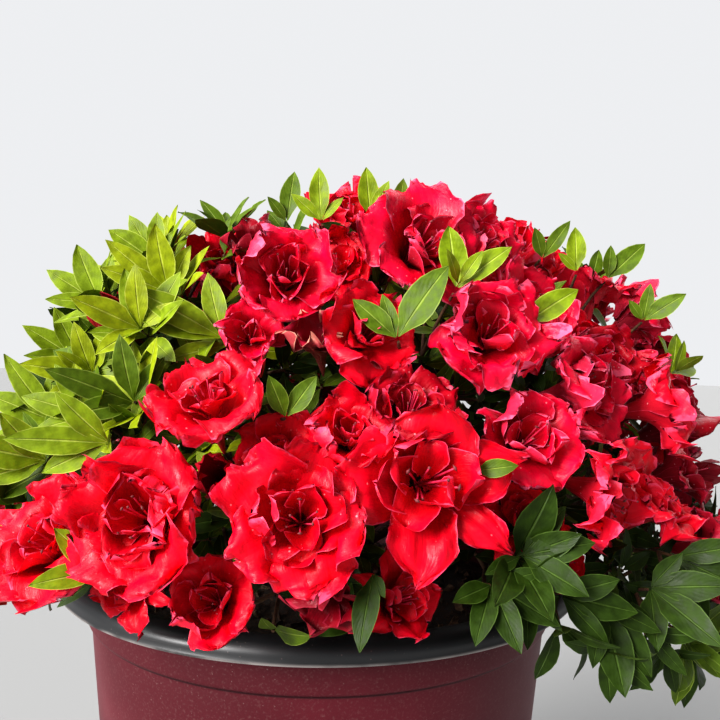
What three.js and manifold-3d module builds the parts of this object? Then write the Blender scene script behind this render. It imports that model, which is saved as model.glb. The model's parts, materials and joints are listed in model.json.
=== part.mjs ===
// A potted azalea in full bloom: a low, dense dome of ruffled red blooms and small pointed leaves, carried by
// many short boughs that fork from one stem just above the potting mix of a round nursery pot.
// Millimetres, +Z up, the front towards -Y. The origin is the middle of the pot's flat underside.
import * as THREE from "three";
import { mergeVertices } from "three/addons/utils/BufferGeometryUtils.js";
import Module from "manifold-3d";

const wasm = await Module();
wasm.setup();

// The gap that two touching pieces keep.
const GAP = 0.3;

// The pot: one thin tapered sheet with a stacking step under a broad turned-down rim, and holes in its floor.
const POT = {
  height: 240,
  rimRadius: 140,
  rimDrop: 8,
  wallTop: 128,
  wallFoot: 105,
  sheet: 1.6,
  stepHeight: 214,
  stepInset: 1.4,
  footRound: 4,
  floor: 2.4,
  holes: 4,
  holeRadius: 7,
  holeCircle: 78,
  sides: 48,
};

// The potting mix lies a little below the rim and rises slightly to the stem.
const MIX = { edge: 214, top: 218, flatRadius: 30 };

// The short stem that all boughs fork from, with a flare of shallow lobes at its foot.
const STEM = { foot: 20, waist: 13.5, shoulder: 12, top: 252, flare: 9, lobes: 5, lobeDepth: 0.12, lean: 3, sides: 12 };

// The crown: a dome that is a little wider than it is deep, set slightly to the right of the pot.
const CROWN = { middle: new THREE.Vector3(20, 0, 258), halfWidth: 198, halfDepth: 186, rise: 188, droop: 150 };

// How far along the way from the crown's middle to the dome each thing lies.
const REACH = { boughTip: 0.42, heart: 0.56, core: 0.64, bloom: 0.99, spray: 0.96 };

// Boughs taper from the stem to the mass that they carry. Each tier leaves the stem at its own height.
const BOUGH = { footRadius: 3.4, tipRadius: 2.3, sides: 5, steps: 4 };
const TIERS = {
  low: { leaves: 229, rises: 8, elevation: 7, bearings: [236, 266, 297, 335, 25, 75, 125, 180] },
  mid: { leaves: 239, rises: 28, elevation: 33, bearings: [246, 279, 311, 5, 65, 130, 205] },
  top: { leaves: 246, rises: 48, elevation: 66, bearings: [265, 25, 145] },
};
const MASS_NAMES = {
  low: ["left_front", "front", "right_front", "right", "right_back", "back_right", "back_left", "left"],
  mid: ["front_left", "front", "front_right", "right", "back_right", "back_left", "left"],
  top: ["front", "right", "left"],
};

// A mass has a low cushion of tangled twigs inside, which its shoots stand out of.
const CORE = { width: 34, thickness: 21, overRim: 7 };

const OVERLAP = 0.8;
const LEAF = { length: 34, width: 13.5, fold: 2.4, steep: 48, wide: 80 };
const TWIG = { footRadius: 1.9, tipRadius: 1.2 };

// Blooms that open to the front: bearing and elevation on the dome in degrees, and width across the lobes.
const FRONT_BLOOMS = [
  [244, 11, 52], [249, 24, 44], [230, 7, 56], [261, 12, 48], [275, 15, 58], [257, 20, 40],
  [266, 23, 38], [274, 27, 44], [286, 34, 48], [290, 22, 52], [303, 27, 52], [301, 40, 52],
  [279, 49, 54], [254, 43, 46], [251, 34, 36], [300, 56, 40], [269, 35, 42], [301, 13, 48],
  [320, 24, 48], [315, 14, 48], [251, 4, 42], [275, 5, 42], [297, 7, 38], [288, 13, 40],
  [279, 20, 38], [313, 33, 42],
];
// Faded blooms that have shrunk and curled, and buds that are still closed.
const FADED_BLOOMS = [[260, 34, 34], [264, 3, 34], [241, 52, 28], [75, 48, 34], [20, 16, 32], [150, 8, 34]];
const BUDS = [[251, 16, 20], [255, 15, 18], [226, 34, 18], [110, 30, 20], [45, 55, 18], [350, 10, 18]];
// Leafy shoots that show between the front blooms and against the sky.
const FRONT_SPRAYS = [
  [223, 27], [227, 42], [235, 24], [243, 38], [199, 30], [210, 20], [233, 33], [238, 18],
  [246, 57], [256, 58], [268, 62], [277, 60], [318, 53], [321, 46], [333, 44], [334, 35],
  [292, 2], [306, 1], [283, 3], [269, 0], [299, -4], [312, 5], [287, 8],
  [273, 37], [294, 38], [257, 26], [281, 19], [238, 4], [282, 41], [334, 28],
];
// The rest of the dome is dealt out by the golden angle. In the leafy patches no blooms open.
const FILL = { blooms: 110, bloomsFrom: 0, bloomApart: 41, sprays: 230, spraysFrom: -12, sprayApart: 26 };
const LEAFY_PATCHES = [
  { bearing: 215, elevation: 28, across: 27 },
  { bearing: 303, elevation: -6, across: 18 },
  { bearing: 52, elevation: 32, across: 17 },
  { bearing: 137, elevation: 4, across: 18 },
];
const GOLDEN = 137.50776;

const COLOURS = {
  wall: 0x6a2535,
  rim: 0x1b1c1e,
  mix: 0x2b1d15,
  bark: 0x5b4030,
  blossom: 0xc8102e,
  leaf: 0x5c8a24,
};

const rad = THREE.MathUtils.degToRad;
const UP = new THREE.Vector3(0, 0, 1);
const point = (x, y, z) => new THREE.Vector3(x, y, z);
const along = (a, b, t) => a.clone().lerp(b, t);

// A stream of numbers from 0 to 1 that is the same each time for one seed.
function seeded(seed) {
  let state = (seed * 2654435761 + 12345) % 4294967296;
  return () => {
    state = (state * 1664525 + 1013904223) % 4294967296;
    return state / 4294967296;
  };
}

// The direction from the crown's middle for a bearing round the pot and an elevation above the ground.
function heading(bearing, elevation) {
  const flat = Math.cos(rad(elevation));
  return point(flat * Math.cos(rad(bearing)), flat * Math.sin(rad(bearing)), Math.sin(rad(elevation)));
}

// How far the dome lies from the crown's middle that way, with the shallow lumps of a natural crown.
function domeRadius(bearing, elevation) {
  const d = heading(bearing, elevation);
  const high = d.z > 0 ? CROWN.rise : CROWN.droop;
  const even = 1 / Math.hypot(d.x / CROWN.halfWidth, d.y / CROWN.halfDepth, d.z / high);
  const lumps = 0.022 * Math.sin(rad(3 * bearing + 75)) + 0.018 * Math.sin(rad(5 * bearing + 3 * elevation - 40));
  return even * (1 + lumps * Math.cos(rad(elevation)));
}

function onDome(bearing, elevation, share) {
  return CROWN.middle.clone().addScaledVector(heading(bearing, elevation), share * domeRadius(bearing, elevation));
}

// Turns local X, Y, Z to a frame whose Z is the given way, rolled about it.
function facing(way, roll, origin) {
  const z = way.clone().normalize();
  const side = Math.abs(z.z) > 0.95 ? point(1, 0, 0) : UP;
  const x = side.clone().cross(z).normalize().applyAxisAngle(z, roll);
  const y = z.clone().cross(x);
  return new THREE.Matrix4().makeBasis(x, y, z).setPosition(origin);
}

function geometryOf(points, faces) {
  const geometry = new THREE.BufferGeometry().setFromPoints(points);
  geometry.setIndex(faces.flat());
  return geometry;
}

function placed(geometry, matrix) {
  const bare = geometry.clone();
  bare.deleteAttribute("normal");
  bare.deleteAttribute("uv");
  const merged = mergeVertices(bare, 1e-4);
  if (matrix) merged.applyMatrix4(matrix);
  return merged;
}

// A closed geometry as a solid that can be joined and cut.
function solidOf(geometry, matrix) {
  const merged = placed(geometry, matrix);
  return new wasm.Manifold(
    new wasm.Mesh({
      numProp: 3,
      vertProperties: new Float32Array(merged.attributes.position.array),
      triVerts: new Uint32Array(merged.index.array),
    }),
  );
}

function geometryFrom(solid) {
  const made = solid.getMesh();
  const geometry = new THREE.BufferGeometry();
  geometry.setAttribute("position", new THREE.BufferAttribute(new Float32Array(made.vertProperties), 3));
  geometry.setIndex(new THREE.BufferAttribute(new Uint32Array(made.triVerts), 1));
  return geometry;
}

// The largest closed surface alone. It drops a loose scrap, and fills a hollow that joining has sealed.
function mainBody(geometry) {
  const index = geometry.index.array;
  const corner = (i) => new THREE.Vector3().fromBufferAttribute(geometry.attributes.position, i);
  const parent = Array.from({ length: geometry.attributes.position.count }, (_, i) => i);
  const root = (i) => {
    while (parent[i] !== i) i = parent[i];
    return i;
  };
  for (let t = 0; t < index.length; t += 3) {
    const first = root(index[t]);
    parent[root(index[t + 1])] = first;
    parent[root(index[t + 2])] = first;
  }
  const bodies = new Map();
  for (let t = 0; t < index.length; t += 3) {
    const key = root(index[t]);
    const body = bodies.get(key) ?? { volume: 0, corners: [] };
    const [a, b, c] = [corner(index[t]), corner(index[t + 1]), corner(index[t + 2])];
    body.volume += a.dot(b.clone().cross(c)) / 6;
    body.corners.push(a, b, c);
    bodies.set(key, body);
  }
  const largest = [...bodies.values()].reduce((a, b) => (a.volume > b.volume ? a : b));
  return mergeVertices(new THREE.BufferGeometry().setFromPoints(largest.corners), 1e-5);
}

function meshOf(solid, name, material) {
  const mesh = new THREE.Mesh(mainBody(geometryFrom(solid)), material);
  mesh.geometry.computeVertexNormals();
  mesh.name = name;
  return mesh;
}

const joined = (solids) => solids.reduce((a, b) => a.add(b));

// Rings of points joined one after another into a tube, closed at both ends by a fan.
function ringTube(rings) {
  const sides = rings[0].length;
  const points = rings.flat();
  const faces = [];
  for (let r = 0; r < rings.length - 1; r++) {
    for (let s = 0; s < sides; s++) {
      const a = r * sides + s;
      const b = r * sides + ((s + 1) % sides);
      faces.push([a, b, b + sides], [a, b + sides, a + sides]);
    }
  }
  const last = (rings.length - 1) * sides;
  for (let s = 1; s < sides - 1; s++) faces.push([0, s + 1, s], [last, last + s, last + s + 1]);
  return geometryOf(points, faces);
}

// A tapering limb along a curve, with a flat end at each side.
function limb(curve, footRadius, tipRadius, sides, steps) {
  const rings = [];
  for (let i = 0; i <= steps; i++) {
    const t = i / steps;
    const frame = facing(curve.getTangentAt(t), 0, curve.getPointAt(t));
    const radius = THREE.MathUtils.lerp(footRadius, tipRadius, t);
    rings.push(
      Array.from({ length: sides }, (_, s) => {
        const angle = (2 * Math.PI * s) / sides;
        return point(radius * Math.cos(angle), radius * Math.sin(angle), 0).applyMatrix4(frame);
      }),
    );
  }
  return ringTube(rings);
}

// The pot. Its wall and floor are one lathed sheet, stepped in below the stacking band.
function wallRadius(height) {
  const inset = height < POT.stepHeight ? POT.stepInset : 0;
  return POT.wallFoot + ((POT.wallTop - POT.wallFoot) * height) / POT.height - inset;
}

function lathe(profile) {
  const points = profile.map(([r, z]) => new THREE.Vector2(r, z));
  return new THREE.LatheGeometry(points, POT.sides).rotateX(Math.PI / 2);
}

function potWall() {
  const top = POT.height - 5 - GAP;
  const foot = POT.footRound;
  const { sheet, floor, stepHeight } = POT;
  const shell = solidOf(
    lathe([
      [0, 0],
      [wallRadius(0) - foot, 0],
      [wallRadius(foot), foot],
      [wallRadius(stepHeight - 2.5), stepHeight - 2.5],
      [wallRadius(stepHeight), stepHeight],
      [wallRadius(top), top],
      [wallRadius(top) - POT.stepInset - sheet, top],
      [wallRadius(foot) - sheet, foot + 1],
      [wallRadius(0) - foot - sheet, floor],
      [0, floor],
    ]),
  );
  const drill = new THREE.CylinderGeometry(POT.holeRadius, POT.holeRadius, 4 * floor, 12).rotateX(Math.PI / 2);
  return Array.from({ length: POT.holes }, (_, i) => rad(45 + (360 * i) / POT.holes)).reduce((pot, angle) => {
    const place = point(Math.cos(angle), Math.sin(angle), 0).multiplyScalar(POT.holeCircle);
    return pot.subtract(solidOf(drill, new THREE.Matrix4().setPosition(place)));
  }, shell);
}

// The black rim: rounded on top, sloping out to an edge that is turned down, and seated on the wall.
function potRim() {
  const { height, rimRadius, rimDrop, wallTop, sheet } = POT;
  const seat = height - 5;
  return solidOf(
    lathe([
      [wallTop - 2.6, seat],
      [wallTop + 0.4, seat],
      [wallTop + 1.6, height - 2.8],
      [rimRadius - 4, height - 2.9],
      [rimRadius - sheet, height - 5],
      [rimRadius - sheet, height - rimDrop],
      [rimRadius, height - rimDrop],
      [rimRadius, height - 4.6],
      [rimRadius - 3, height - 1.2],
      [wallTop, height],
      [wallTop - 2.6, seat],
    ]),
  );
}

function pottingMix() {
  const { sheet, floor, footRound } = POT;
  const inner = (height) => wallRadius(height) - sheet - GAP;
  return solidOf(
    lathe([
      [0, floor + GAP],
      [inner(0) - footRound - 1, floor + GAP],
      [inner(footRound) - 1, footRound + 2],
      [inner(MIX.edge - 6) - 0.5, MIX.edge - 6],
      [inner(MIX.edge - 6) - 0.5, MIX.edge - 1],
      [MIX.flatRadius, MIX.top],
      [0, MIX.top],
    ]),
  );
}

// The stem, grown outwards all over by an even allowance where a bough is cut to meet it.
function stemSolid(allowance) {
  const { foot, waist, shoulder, top, flare, lobes, lobeDepth, lean, sides } = STEM;
  const base = MIX.top + GAP;
  const levels = [
    [base, foot],
    [base + flare, waist],
    [(base + top) / 2, shoulder],
    [top - 5, shoulder - 1.5],
    [top, shoulder / 2],
  ];
  const rings = levels.map(([height, radius], i) => {
    const rise = (height - base) / (top - base);
    const z = i === 0 ? height - allowance : i === levels.length - 1 ? height + allowance : height;
    return Array.from({ length: sides }, (_, s) => {
      const angle = (2 * Math.PI * s) / sides;
      const lobe = 1 + lobeDepth * (1 - rise) * Math.cos(lobes * angle + 0.6);
      const r = radius * lobe + allowance * 1.1;
      return point(r * Math.cos(angle) + lean * rise, r * Math.sin(angle), z);
    });
  });
  return solidOf(ringTube(rings));
}

// One foliage mass for each bough, with its way out from the crown's middle.
const masses = Object.entries(TIERS).flatMap(([tier, { leaves, rises, elevation, bearings }]) =>
  bearings.map((bearing, i) => ({
    name: `${tier}_${MASS_NAMES[tier][i]}`,
    leaves,
    bearing,
    elevation,
    start: heading(bearings[0] + (360 * i) / bearings.length, rises),
    way: heading(bearing, elevation),
    tip: onDome(bearing, elevation, REACH.boughTip),
    heart: onDome(bearing, elevation, REACH.heart),
    core: onDome(bearing, elevation, REACH.core),
    pieces: [],
  })),
);

// A bough leaves the stem sideways and bends up and out to its mass, where it points straight along its way.
function boughSolid(mass, stemCut) {
  const from = point((STEM.lean * 2) / 3, 0, mass.leaves);
  const reach = from.distanceTo(mass.tip);
  const out = from.clone().addScaledVector(mass.start, reach * 0.42);
  const back = mass.tip.clone().addScaledVector(mass.way, -reach * 0.3);
  const curve = new THREE.CubicBezierCurve3(from, out, back, mass.tip);
  const geometry = limb(curve, BOUGH.footRadius, BOUGH.tipRadius, BOUGH.sides, BOUGH.steps);
  return solidOf(geometry).subtract(stemCut);
}

// The cushion inside a mass: a squashed ball, pressed flat where it would meet its neighbours or the rim.
function coreGeometry(mass) {
  const ball = new THREE.IcosahedronGeometry(1, 1);
  ball.deleteAttribute("normal");
  ball.deleteAttribute("uv");
  const geometry = mergeVertices(ball, 1e-4);
  const frame = facing(mass.way, 0, mass.core);
  const size = new THREE.Matrix4().makeScale(CORE.width, CORE.width, CORE.thickness);
  geometry.applyMatrix4(frame.multiply(size));
  const walls = masses
    .filter((other) => other !== mass)
    .map((other) => {
      const normal = other.core.clone().sub(mass.core).normalize();
      const middle = along(mass.core, other.core, 0.5).addScaledVector(normal, -1.2);
      return { normal, middle };
    });
  walls.push({ normal: UP.clone().negate(), middle: point(0, 0, POT.height + CORE.overRim) });
  const place = geometry.attributes.position;
  for (let i = 0; i < place.count; i++) {
    const p = new THREE.Vector3().fromBufferAttribute(place, i);
    for (const wall of [...walls, ...walls]) {
      const over = p.clone().sub(wall.middle).dot(wall.normal);
      if (over > 0) p.addScaledVector(wall.normal, -over);
    }
    place.setXYZ(i, p.x, p.y, p.z);
  }
  return geometry;
}

// A head on its stalk as one closed body. The outline runs round local Z, and the top faces close it above.
// Below, it narrows to a three-sided neck, and the stalk goes on from there to its foot in the core.
function onStalk(outline, inside, topFaces, neckDepth, frame, foot) {
  const count = outline.length;
  const place = (p) => p.clone().applyMatrix4(frame);
  const neckMiddle = place(point(0, 0, -neckDepth));
  const stalk = facing(neckMiddle.clone().sub(foot), 0, foot);
  const corners = [60, 180, 300].map((degrees) => point(Math.cos(rad(degrees)), Math.sin(rad(degrees)), 0));
  const neck = corners.map((c) => place(c.clone().multiplyScalar(TWIG.tipRadius).setZ(-neckDepth)));
  const nearest = (p) => (a, b) => (a.p.distanceTo(p) < b.p.distanceTo(p) ? a : b);
  const ends = corners.map((c) => c.clone().multiplyScalar(TWIG.footRadius).applyMatrix4(stalk));
  const shift = ends.map((p, i) => ({ p: p.clone().add(neckMiddle).sub(foot), i })).reduce(nearest(neck[0])).i;
  const footRing = [0, 1, 2].map((k) => ends[(k + shift) % 3]);
  const points = [...outline.map(place), ...inside.map(place), ...neck, ...footRing];
  const neckAt = count + inside.length;
  const footAt = neckAt + 3;
  const faces = [...topFaces];
  for (let i = 0; i < count; i++) {
    const next = (i + 1) % count;
    const [here, after] = [Math.floor((3 * i) / count), Math.floor((3 * next) / count)];
    faces.push([next, i, neckAt + here]);
    if (here !== after) faces.push([next, neckAt + here, neckAt + after]);
  }
  for (let k = 0; k < 3; k++) {
    const next = (k + 1) % 3;
    faces.push([neckAt + next, neckAt + k, footAt + k], [neckAt + next, footAt + k, footAt + next]);
  }
  faces.push([footAt, footAt + 2, footAt + 1]);
  return geometryOf(points, faces);
}

// A ruffled bloom: five blunt lobes, notched between, round a funnel with a low frill and a throat.
const BLOOM_DEPTH = 0.62;
function bloomGeometry(size, frame, foot, random) {
  const outline = [];
  const inside = [];
  const at = (degrees, r, z) => point(r * size * Math.cos(rad(degrees)), r * size * Math.sin(rad(degrees)), z * size);
  for (let lobe = 0; lobe < 5; lobe++) {
    const middle = 72 * lobe;
    const ruffle = 0.12 * (random() - 0.3);
    outline.push(at(middle - 21, 0.5, ruffle), at(middle + 19, 0.49, -ruffle), at(middle + 36, 0.36, -0.05));
    inside.push(at(middle, 0.2, 0.12 * random() - 0.16));
  }
  inside.push(point(0, 0, -0.24 * size));
  const faces = [];
  for (let lobe = 0; lobe < 5; lobe++) {
    const next = (lobe + 1) % 5;
    const [left, right, notch] = [3 * lobe, 3 * lobe + 1, 3 * lobe + 2];
    faces.push([15 + lobe, left, right], [15 + lobe, right, notch], [15 + lobe, notch, 15 + next]);
    faces.push([15 + next, notch, 3 * next], [15 + lobe, 15 + next, 20]);
  }
  return onStalk(outline, inside, faces, BLOOM_DEPTH * size, frame, foot);
}

// A closed bud or a shrunken bloom: a plump spindle of five sides.
function budGeometry(size, width, frame, foot) {
  const ring = (r, z) =>
    Array.from({ length: 5 }, (_, s) => {
      const angle = (2 * Math.PI * (s + 0.5)) / 5;
      return point(r * size * Math.cos(angle), r * size * Math.sin(angle), z * size);
    });
  const faces = [];
  for (let s = 0; s < 5; s++) {
    const next = (s + 1) % 5;
    faces.push([s, next, 5 + next], [s, 5 + next, 5 + s], [5 + s, 5 + next, 10]);
  }
  const inside = [...ring(width * 0.8, 0.2), point(0, 0, 0.45 * size)];
  return onStalk(ring(width, -0.15), inside, faces, BLOOM_DEPTH * size, frame, foot);
}

// A leaf of a shoot: the turn about the shoot's axis, the spread away from it, and the length.
function leavesOf(shoot) {
  return Array.from({ length: 5 }, (_, i) => {
    const turn = 72 * i + 16 * (shoot.random() - 0.5);
    const spread = LEAF.steep + (LEAF.wide - LEAF.steep) * (i % 2 === 0 ? 0.5 + 0.5 * shoot.random() : 0.5 * shoot.random());
    const length = LEAF.length * (0.85 + 0.3 * shoot.random());
    return { turn, spread, length };
  });
}

// The points of a leaf from its left side over its tip to its right side, about local Z.
function leafPoints({ turn, spread, length }) {
  const way = point(Math.sin(rad(spread)), 0, Math.cos(rad(spread)));
  const top = point(-Math.cos(rad(spread)), 0, Math.sin(rad(spread)));
  const half = (LEAF.width * length) / LEAF.length / 2;
  const middle = way.clone().multiplyScalar(0.5 * length).addScaledVector(top, LEAF.fold);
  const tip = way.clone().multiplyScalar(length).addScaledVector(top, -0.06 * length);
  const sides = [middle.clone().add(point(0, -half, 0)), tip, middle.clone().add(point(0, half, 0))];
  return sides.map((p) => p.applyAxisAngle(UP, rad(turn)));
}

// A whorl of leaves round the end of a shoot, as a star that is notched to the stalk between the leaves.
const NECK = 4;
function whorlGeometry(leaves, frame, foot) {
  const outline = leaves.flatMap((leaf, i) => {
    const next = leaves[(i + 1) % leaves.length];
    const gap = (((next.turn - leaf.turn) % 360) + 360) % 360 || 360;
    const notch = point(2, 0, -0.8).applyAxisAngle(UP, rad(leaf.turn + gap / 2));
    return [...leafPoints(leaf), notch];
  });
  const count = outline.length;
  const faces = outline.map((_, i) => [i, (i + 1) % count, count]);
  return onStalk(outline, [point(0, 0, 0.7)], faces, NECK, frame, foot);
}

// The shoots: each has a place on the dome, the way it faces, a kind and a size.
function shootAt(kind, bearing, elevation, size, index) {
  const random = seeded(index + 1);
  const share = kind === "spray" ? REACH.spray : REACH.bloom;
  const place = onDome(bearing, elevation, share - 0.05 * random());
  const sway = point(random() - 0.5, random() - 0.5, random() - 0.5).multiplyScalar(0.55);
  const lift = elevation < 0 ? -0.25 : 0.12;
  const way = heading(bearing, elevation).add(sway).addScaledVector(UP, lift).normalize();
  return { kind, bearing, elevation, size, place, way, roll: 2 * Math.PI * random(), random };
}

function inLeafyPatch(bearing, elevation) {
  const way = heading(bearing, elevation);
  return LEAFY_PATCHES.some((patch) => {
    return way.angleTo(heading(patch.bearing, patch.elevation)) < rad(patch.across);
  });
}

// Places dealt evenly over the dome above an elevation by the golden angle.
function dealt(count, from) {
  const low = Math.sin(rad(from));
  return Array.from({ length: count }, (_, i) => {
    const high = low + ((1 - low) * (i + 0.5)) / count;
    return [(i * GOLDEN) % 360, (Math.asin(high) * 180) / Math.PI];
  });
}

function allShoots() {
  const shoots = [];
  const add = (kind, bearing, elevation, size) => {
    shoots.push(shootAt(kind, bearing, elevation, size, shoots.length));
  };
  const clear = (bearing, elevation, apart, kinds) => {
    const place = onDome(bearing, elevation, REACH.bloom);
    return !shoots.some((s) => kinds.includes(s.kind) && s.place.distanceTo(place) < apart);
  };
  for (const [bearing, elevation, size] of FRONT_BLOOMS) add("bloom", bearing, elevation, size);
  for (const [bearing, elevation, size] of FADED_BLOOMS) add("faded", bearing, elevation, size);
  for (const [bearing, elevation, size] of BUDS) add("bud", bearing, elevation, size);
  for (const [bearing, elevation] of FRONT_SPRAYS) add("spray", bearing, elevation, LEAF.length);
  for (const [bearing, elevation] of dealt(FILL.blooms, FILL.bloomsFrom)) {
    const free = clear(bearing, elevation, FILL.bloomApart, ["bloom"]);
    const open = clear(bearing, elevation, 0.6 * FILL.bloomApart, ["faded", "bud", "spray"]);
    if (free && open && !inLeafyPatch(bearing, elevation)) {
      add("bloom", bearing, elevation, 44 + 12 * seeded(500 + shoots.length)());
    }
  }
  for (const [bearing, elevation] of dealt(FILL.sprays, FILL.spraysFrom)) {
    if (clear(bearing, elevation, FILL.sprayApart, ["bloom", "spray", "faded", "bud"])) {
      add("spray", bearing, elevation, LEAF.length);
    }
  }
  return shoots;
}

function headGeometry(shoot, scale, leaves, frame, foot) {
  const size = shoot.size * scale;
  if (shoot.kind === "bud") return budGeometry(size, 0.26, frame, foot);
  if (shoot.kind === "faded") return budGeometry(size, 0.36, frame, foot);
  if (shoot.kind === "spray") return whorlGeometry(leaves, frame, foot);
  return bloomGeometry(size, frame, foot, seeded(Math.round(10 * shoot.size)));
}

// All that is placed so far, so that a new piece can be tested against it.
const taken = [];
function boxOf(geometry) {
  return new THREE.Box3().setFromBufferAttribute(geometry.attributes.position).expandByScalar(GAP);
}
function touches(geometry, others) {
  const box = boxOf(geometry);
  const near = others.filter((other) => other.box.intersectsBox(box));
  if (near.length === 0) return false;
  const solid = solidOf(geometry);
  return near.some((other) => other.solid.intersect(solid).getMesh().triVerts.length > 0);
}
function take(geometry, owner) {
  const solid = solidOf(geometry);
  taken.push({ solid, owner, box: boxOf(geometry) });
  return solid;
}

const wall = potWall();
const rim = potRim();
const mix = pottingMix();
const stem = stemSolid(0);
const stemCut = stemSolid(GAP);
for (const solid of [wall, rim, mix, stem]) take(geometryFrom(solid), "pot and stem");
for (const mass of masses) {
  mass.bough = boughSolid(mass, stemCut);
  take(geometryFrom(mass.bough), "boughs");
}
for (const mass of masses) {
  const foot = mass.tip.clone().addScaledVector(mass.way, GAP);
  const inner = limb(new THREE.LineCurve3(foot, mass.core), BOUGH.tipRadius, TWIG.footRadius, BOUGH.sides, 1);
  mass.pieces.push(take(inner, mass), take(coreGeometry(mass), mass));
}

// A bloom may shrink, or sit deeper than its place on the dome, to fit between its neighbours.
const BLOOM_FITS = [[1, 0], [0.9, 0], [0.8, 0], [1, 10], [0.85, 10], [0.9, 18], [0.75, 18]];
const SPRAY_FITS = [[1, 0], [1, 9], [0.8, 14]];

// Adds a shoot to the nearest mass that can hold it. In its own mass a bloom's frilled edge may lie over others.
// A leaf that would touch anything is left off, and a shoot with fewer than two leaves isn't made.
function grow(shoot) {
  const way = heading(shoot.bearing, shoot.elevation);
  const nearest = [...masses].sort((a, b) => a.way.angleTo(way) - b.way.angleTo(way)).slice(0, 2);
  const leafy = shoot.kind === "spray";
  const leaves = leafy ? leavesOf(shoot) : [];
  for (const mass of nearest) {
    const foot = along(mass.heart, mass.core, 0.6);
    const others = taken.filter((t) => t.owner !== mass);
    for (const [scale, sunk] of leafy ? SPRAY_FITS : BLOOM_FITS) {
      const place = shoot.place.clone().addScaledVector(shoot.way, -sunk);
      const frame = facing(shoot.way, shoot.roll, place);
      const behind = place.clone().addScaledVector(shoot.way, leafy ? -NECK - 0.5 : -BLOOM_DEPTH * shoot.size - 2);
      const sized = leaves.map((leaf) => ({ ...leaf, length: scale * leaf.length }));
      const kept = sized.filter((leaf) => !touches(whorlGeometry([leaf], frame, behind), taken));
      if (leafy && kept.length < 2) continue;
      if (!leafy && touches(headGeometry(shoot, OVERLAP * scale, kept, frame, behind), taken)) continue;
      const whole = headGeometry(shoot, scale, kept, frame, foot);
      if (touches(whole, others)) continue;
      mass.pieces.push(take(whole, mass));
      shoot.owner = mass;
      return;
    }
  }
}

const shoots = allShoots();
for (const shoot of shoots.filter((s) => s.kind !== "spray")) grow(shoot);
for (const shoot of shoots.filter((s) => s.kind === "spray")) grow(shoot);

const finish = (color, roughness, metalness = 0) => new THREE.MeshStandardMaterial({ color, roughness, metalness });
const bark = finish(COLOURS.bark, 0.85);
const blossom = finish(COLOURS.blossom, 0.55);
const foliage = finish(COLOURS.leaf, 0.6);

const azalea = new THREE.Group();
azalea.name = "potted_azalea";
azalea.add(
  meshOf(wall, "pot_wall", finish(COLOURS.wall, 0.5)),
  meshOf(rim, "pot_rim", finish(COLOURS.rim, 0.35)),
  meshOf(mix, "potting_mix", finish(COLOURS.mix, 0.95)),
  meshOf(stem, "stem", bark),
);
for (const mass of masses) {
  azalea.add(meshOf(mass.bough, `bough_${mass.name}`, bark));
  const own = shoots.filter((s) => s.owner === mass);
  const flowering = own.filter((s) => s.kind === "bloom").length > own.length / 3;
  azalea.add(meshOf(joined(mass.pieces), `foliage_${mass.name}`, flowering ? blossom : foliage));
}

export default azalea;
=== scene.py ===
# A potted azalea in full bloom: pot, potting mix, stem, boughs, twigs, leaves and blooms, in the order in
# which they carry each other. The plant grows by one rule of bearings, elevations and sizes, in millimetres.
import json
import math
import bmesh
import bpy
from mathutils import Matrix, Vector, noise
from types import SimpleNamespace

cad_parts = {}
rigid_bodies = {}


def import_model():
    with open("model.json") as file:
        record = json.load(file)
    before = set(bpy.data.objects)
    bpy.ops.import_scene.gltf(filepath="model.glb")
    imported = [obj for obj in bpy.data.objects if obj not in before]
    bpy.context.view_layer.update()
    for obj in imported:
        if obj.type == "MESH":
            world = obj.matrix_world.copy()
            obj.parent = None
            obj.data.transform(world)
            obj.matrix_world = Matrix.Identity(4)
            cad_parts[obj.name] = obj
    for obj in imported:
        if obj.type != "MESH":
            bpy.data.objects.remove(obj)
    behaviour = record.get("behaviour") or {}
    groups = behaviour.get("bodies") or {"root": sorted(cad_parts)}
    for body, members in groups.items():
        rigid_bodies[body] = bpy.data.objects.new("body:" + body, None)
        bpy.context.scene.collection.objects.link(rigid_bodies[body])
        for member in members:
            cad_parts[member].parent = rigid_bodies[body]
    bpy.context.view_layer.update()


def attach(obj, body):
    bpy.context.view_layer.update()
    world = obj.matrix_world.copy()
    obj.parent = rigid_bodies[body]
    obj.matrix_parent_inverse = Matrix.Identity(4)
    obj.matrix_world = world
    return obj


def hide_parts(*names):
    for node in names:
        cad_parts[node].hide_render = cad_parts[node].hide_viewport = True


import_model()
MM = 0.001


# Viewpoint
# The plant is seen from close in front, a little above the rim of the pot. The view is almost level, turned
# slightly to the right and a little askew, with the angle of an ordinary phone lens.
VIEW_PLACE = (0, -0.413, 0.350)
VIEW_TURN, VIEW_DOWN, VIEW_ROLL = 2.6, 0.2, 1.43


def in_scene(name, data):
    thing = bpy.data.objects.new(name, data)
    bpy.context.scene.collection.objects.link(thing)
    return thing


def about(axis, degrees):
    return Matrix.Rotation(math.radians(degrees), 4, axis)


lens = bpy.data.cameras.new("viewpoint")
lens.sensor_width = 36
lens.lens = 36
lens.clip_start = 0.01
viewpoint = in_scene("viewpoint", lens)
view_turn = about("Z", -VIEW_TURN) @ about("X", 90 - VIEW_DOWN) @ about("Z", VIEW_ROLL)
viewpoint.matrix_world = Matrix.Translation(VIEW_PLACE) @ view_turn
bpy.context.scene.camera = viewpoint


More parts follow.
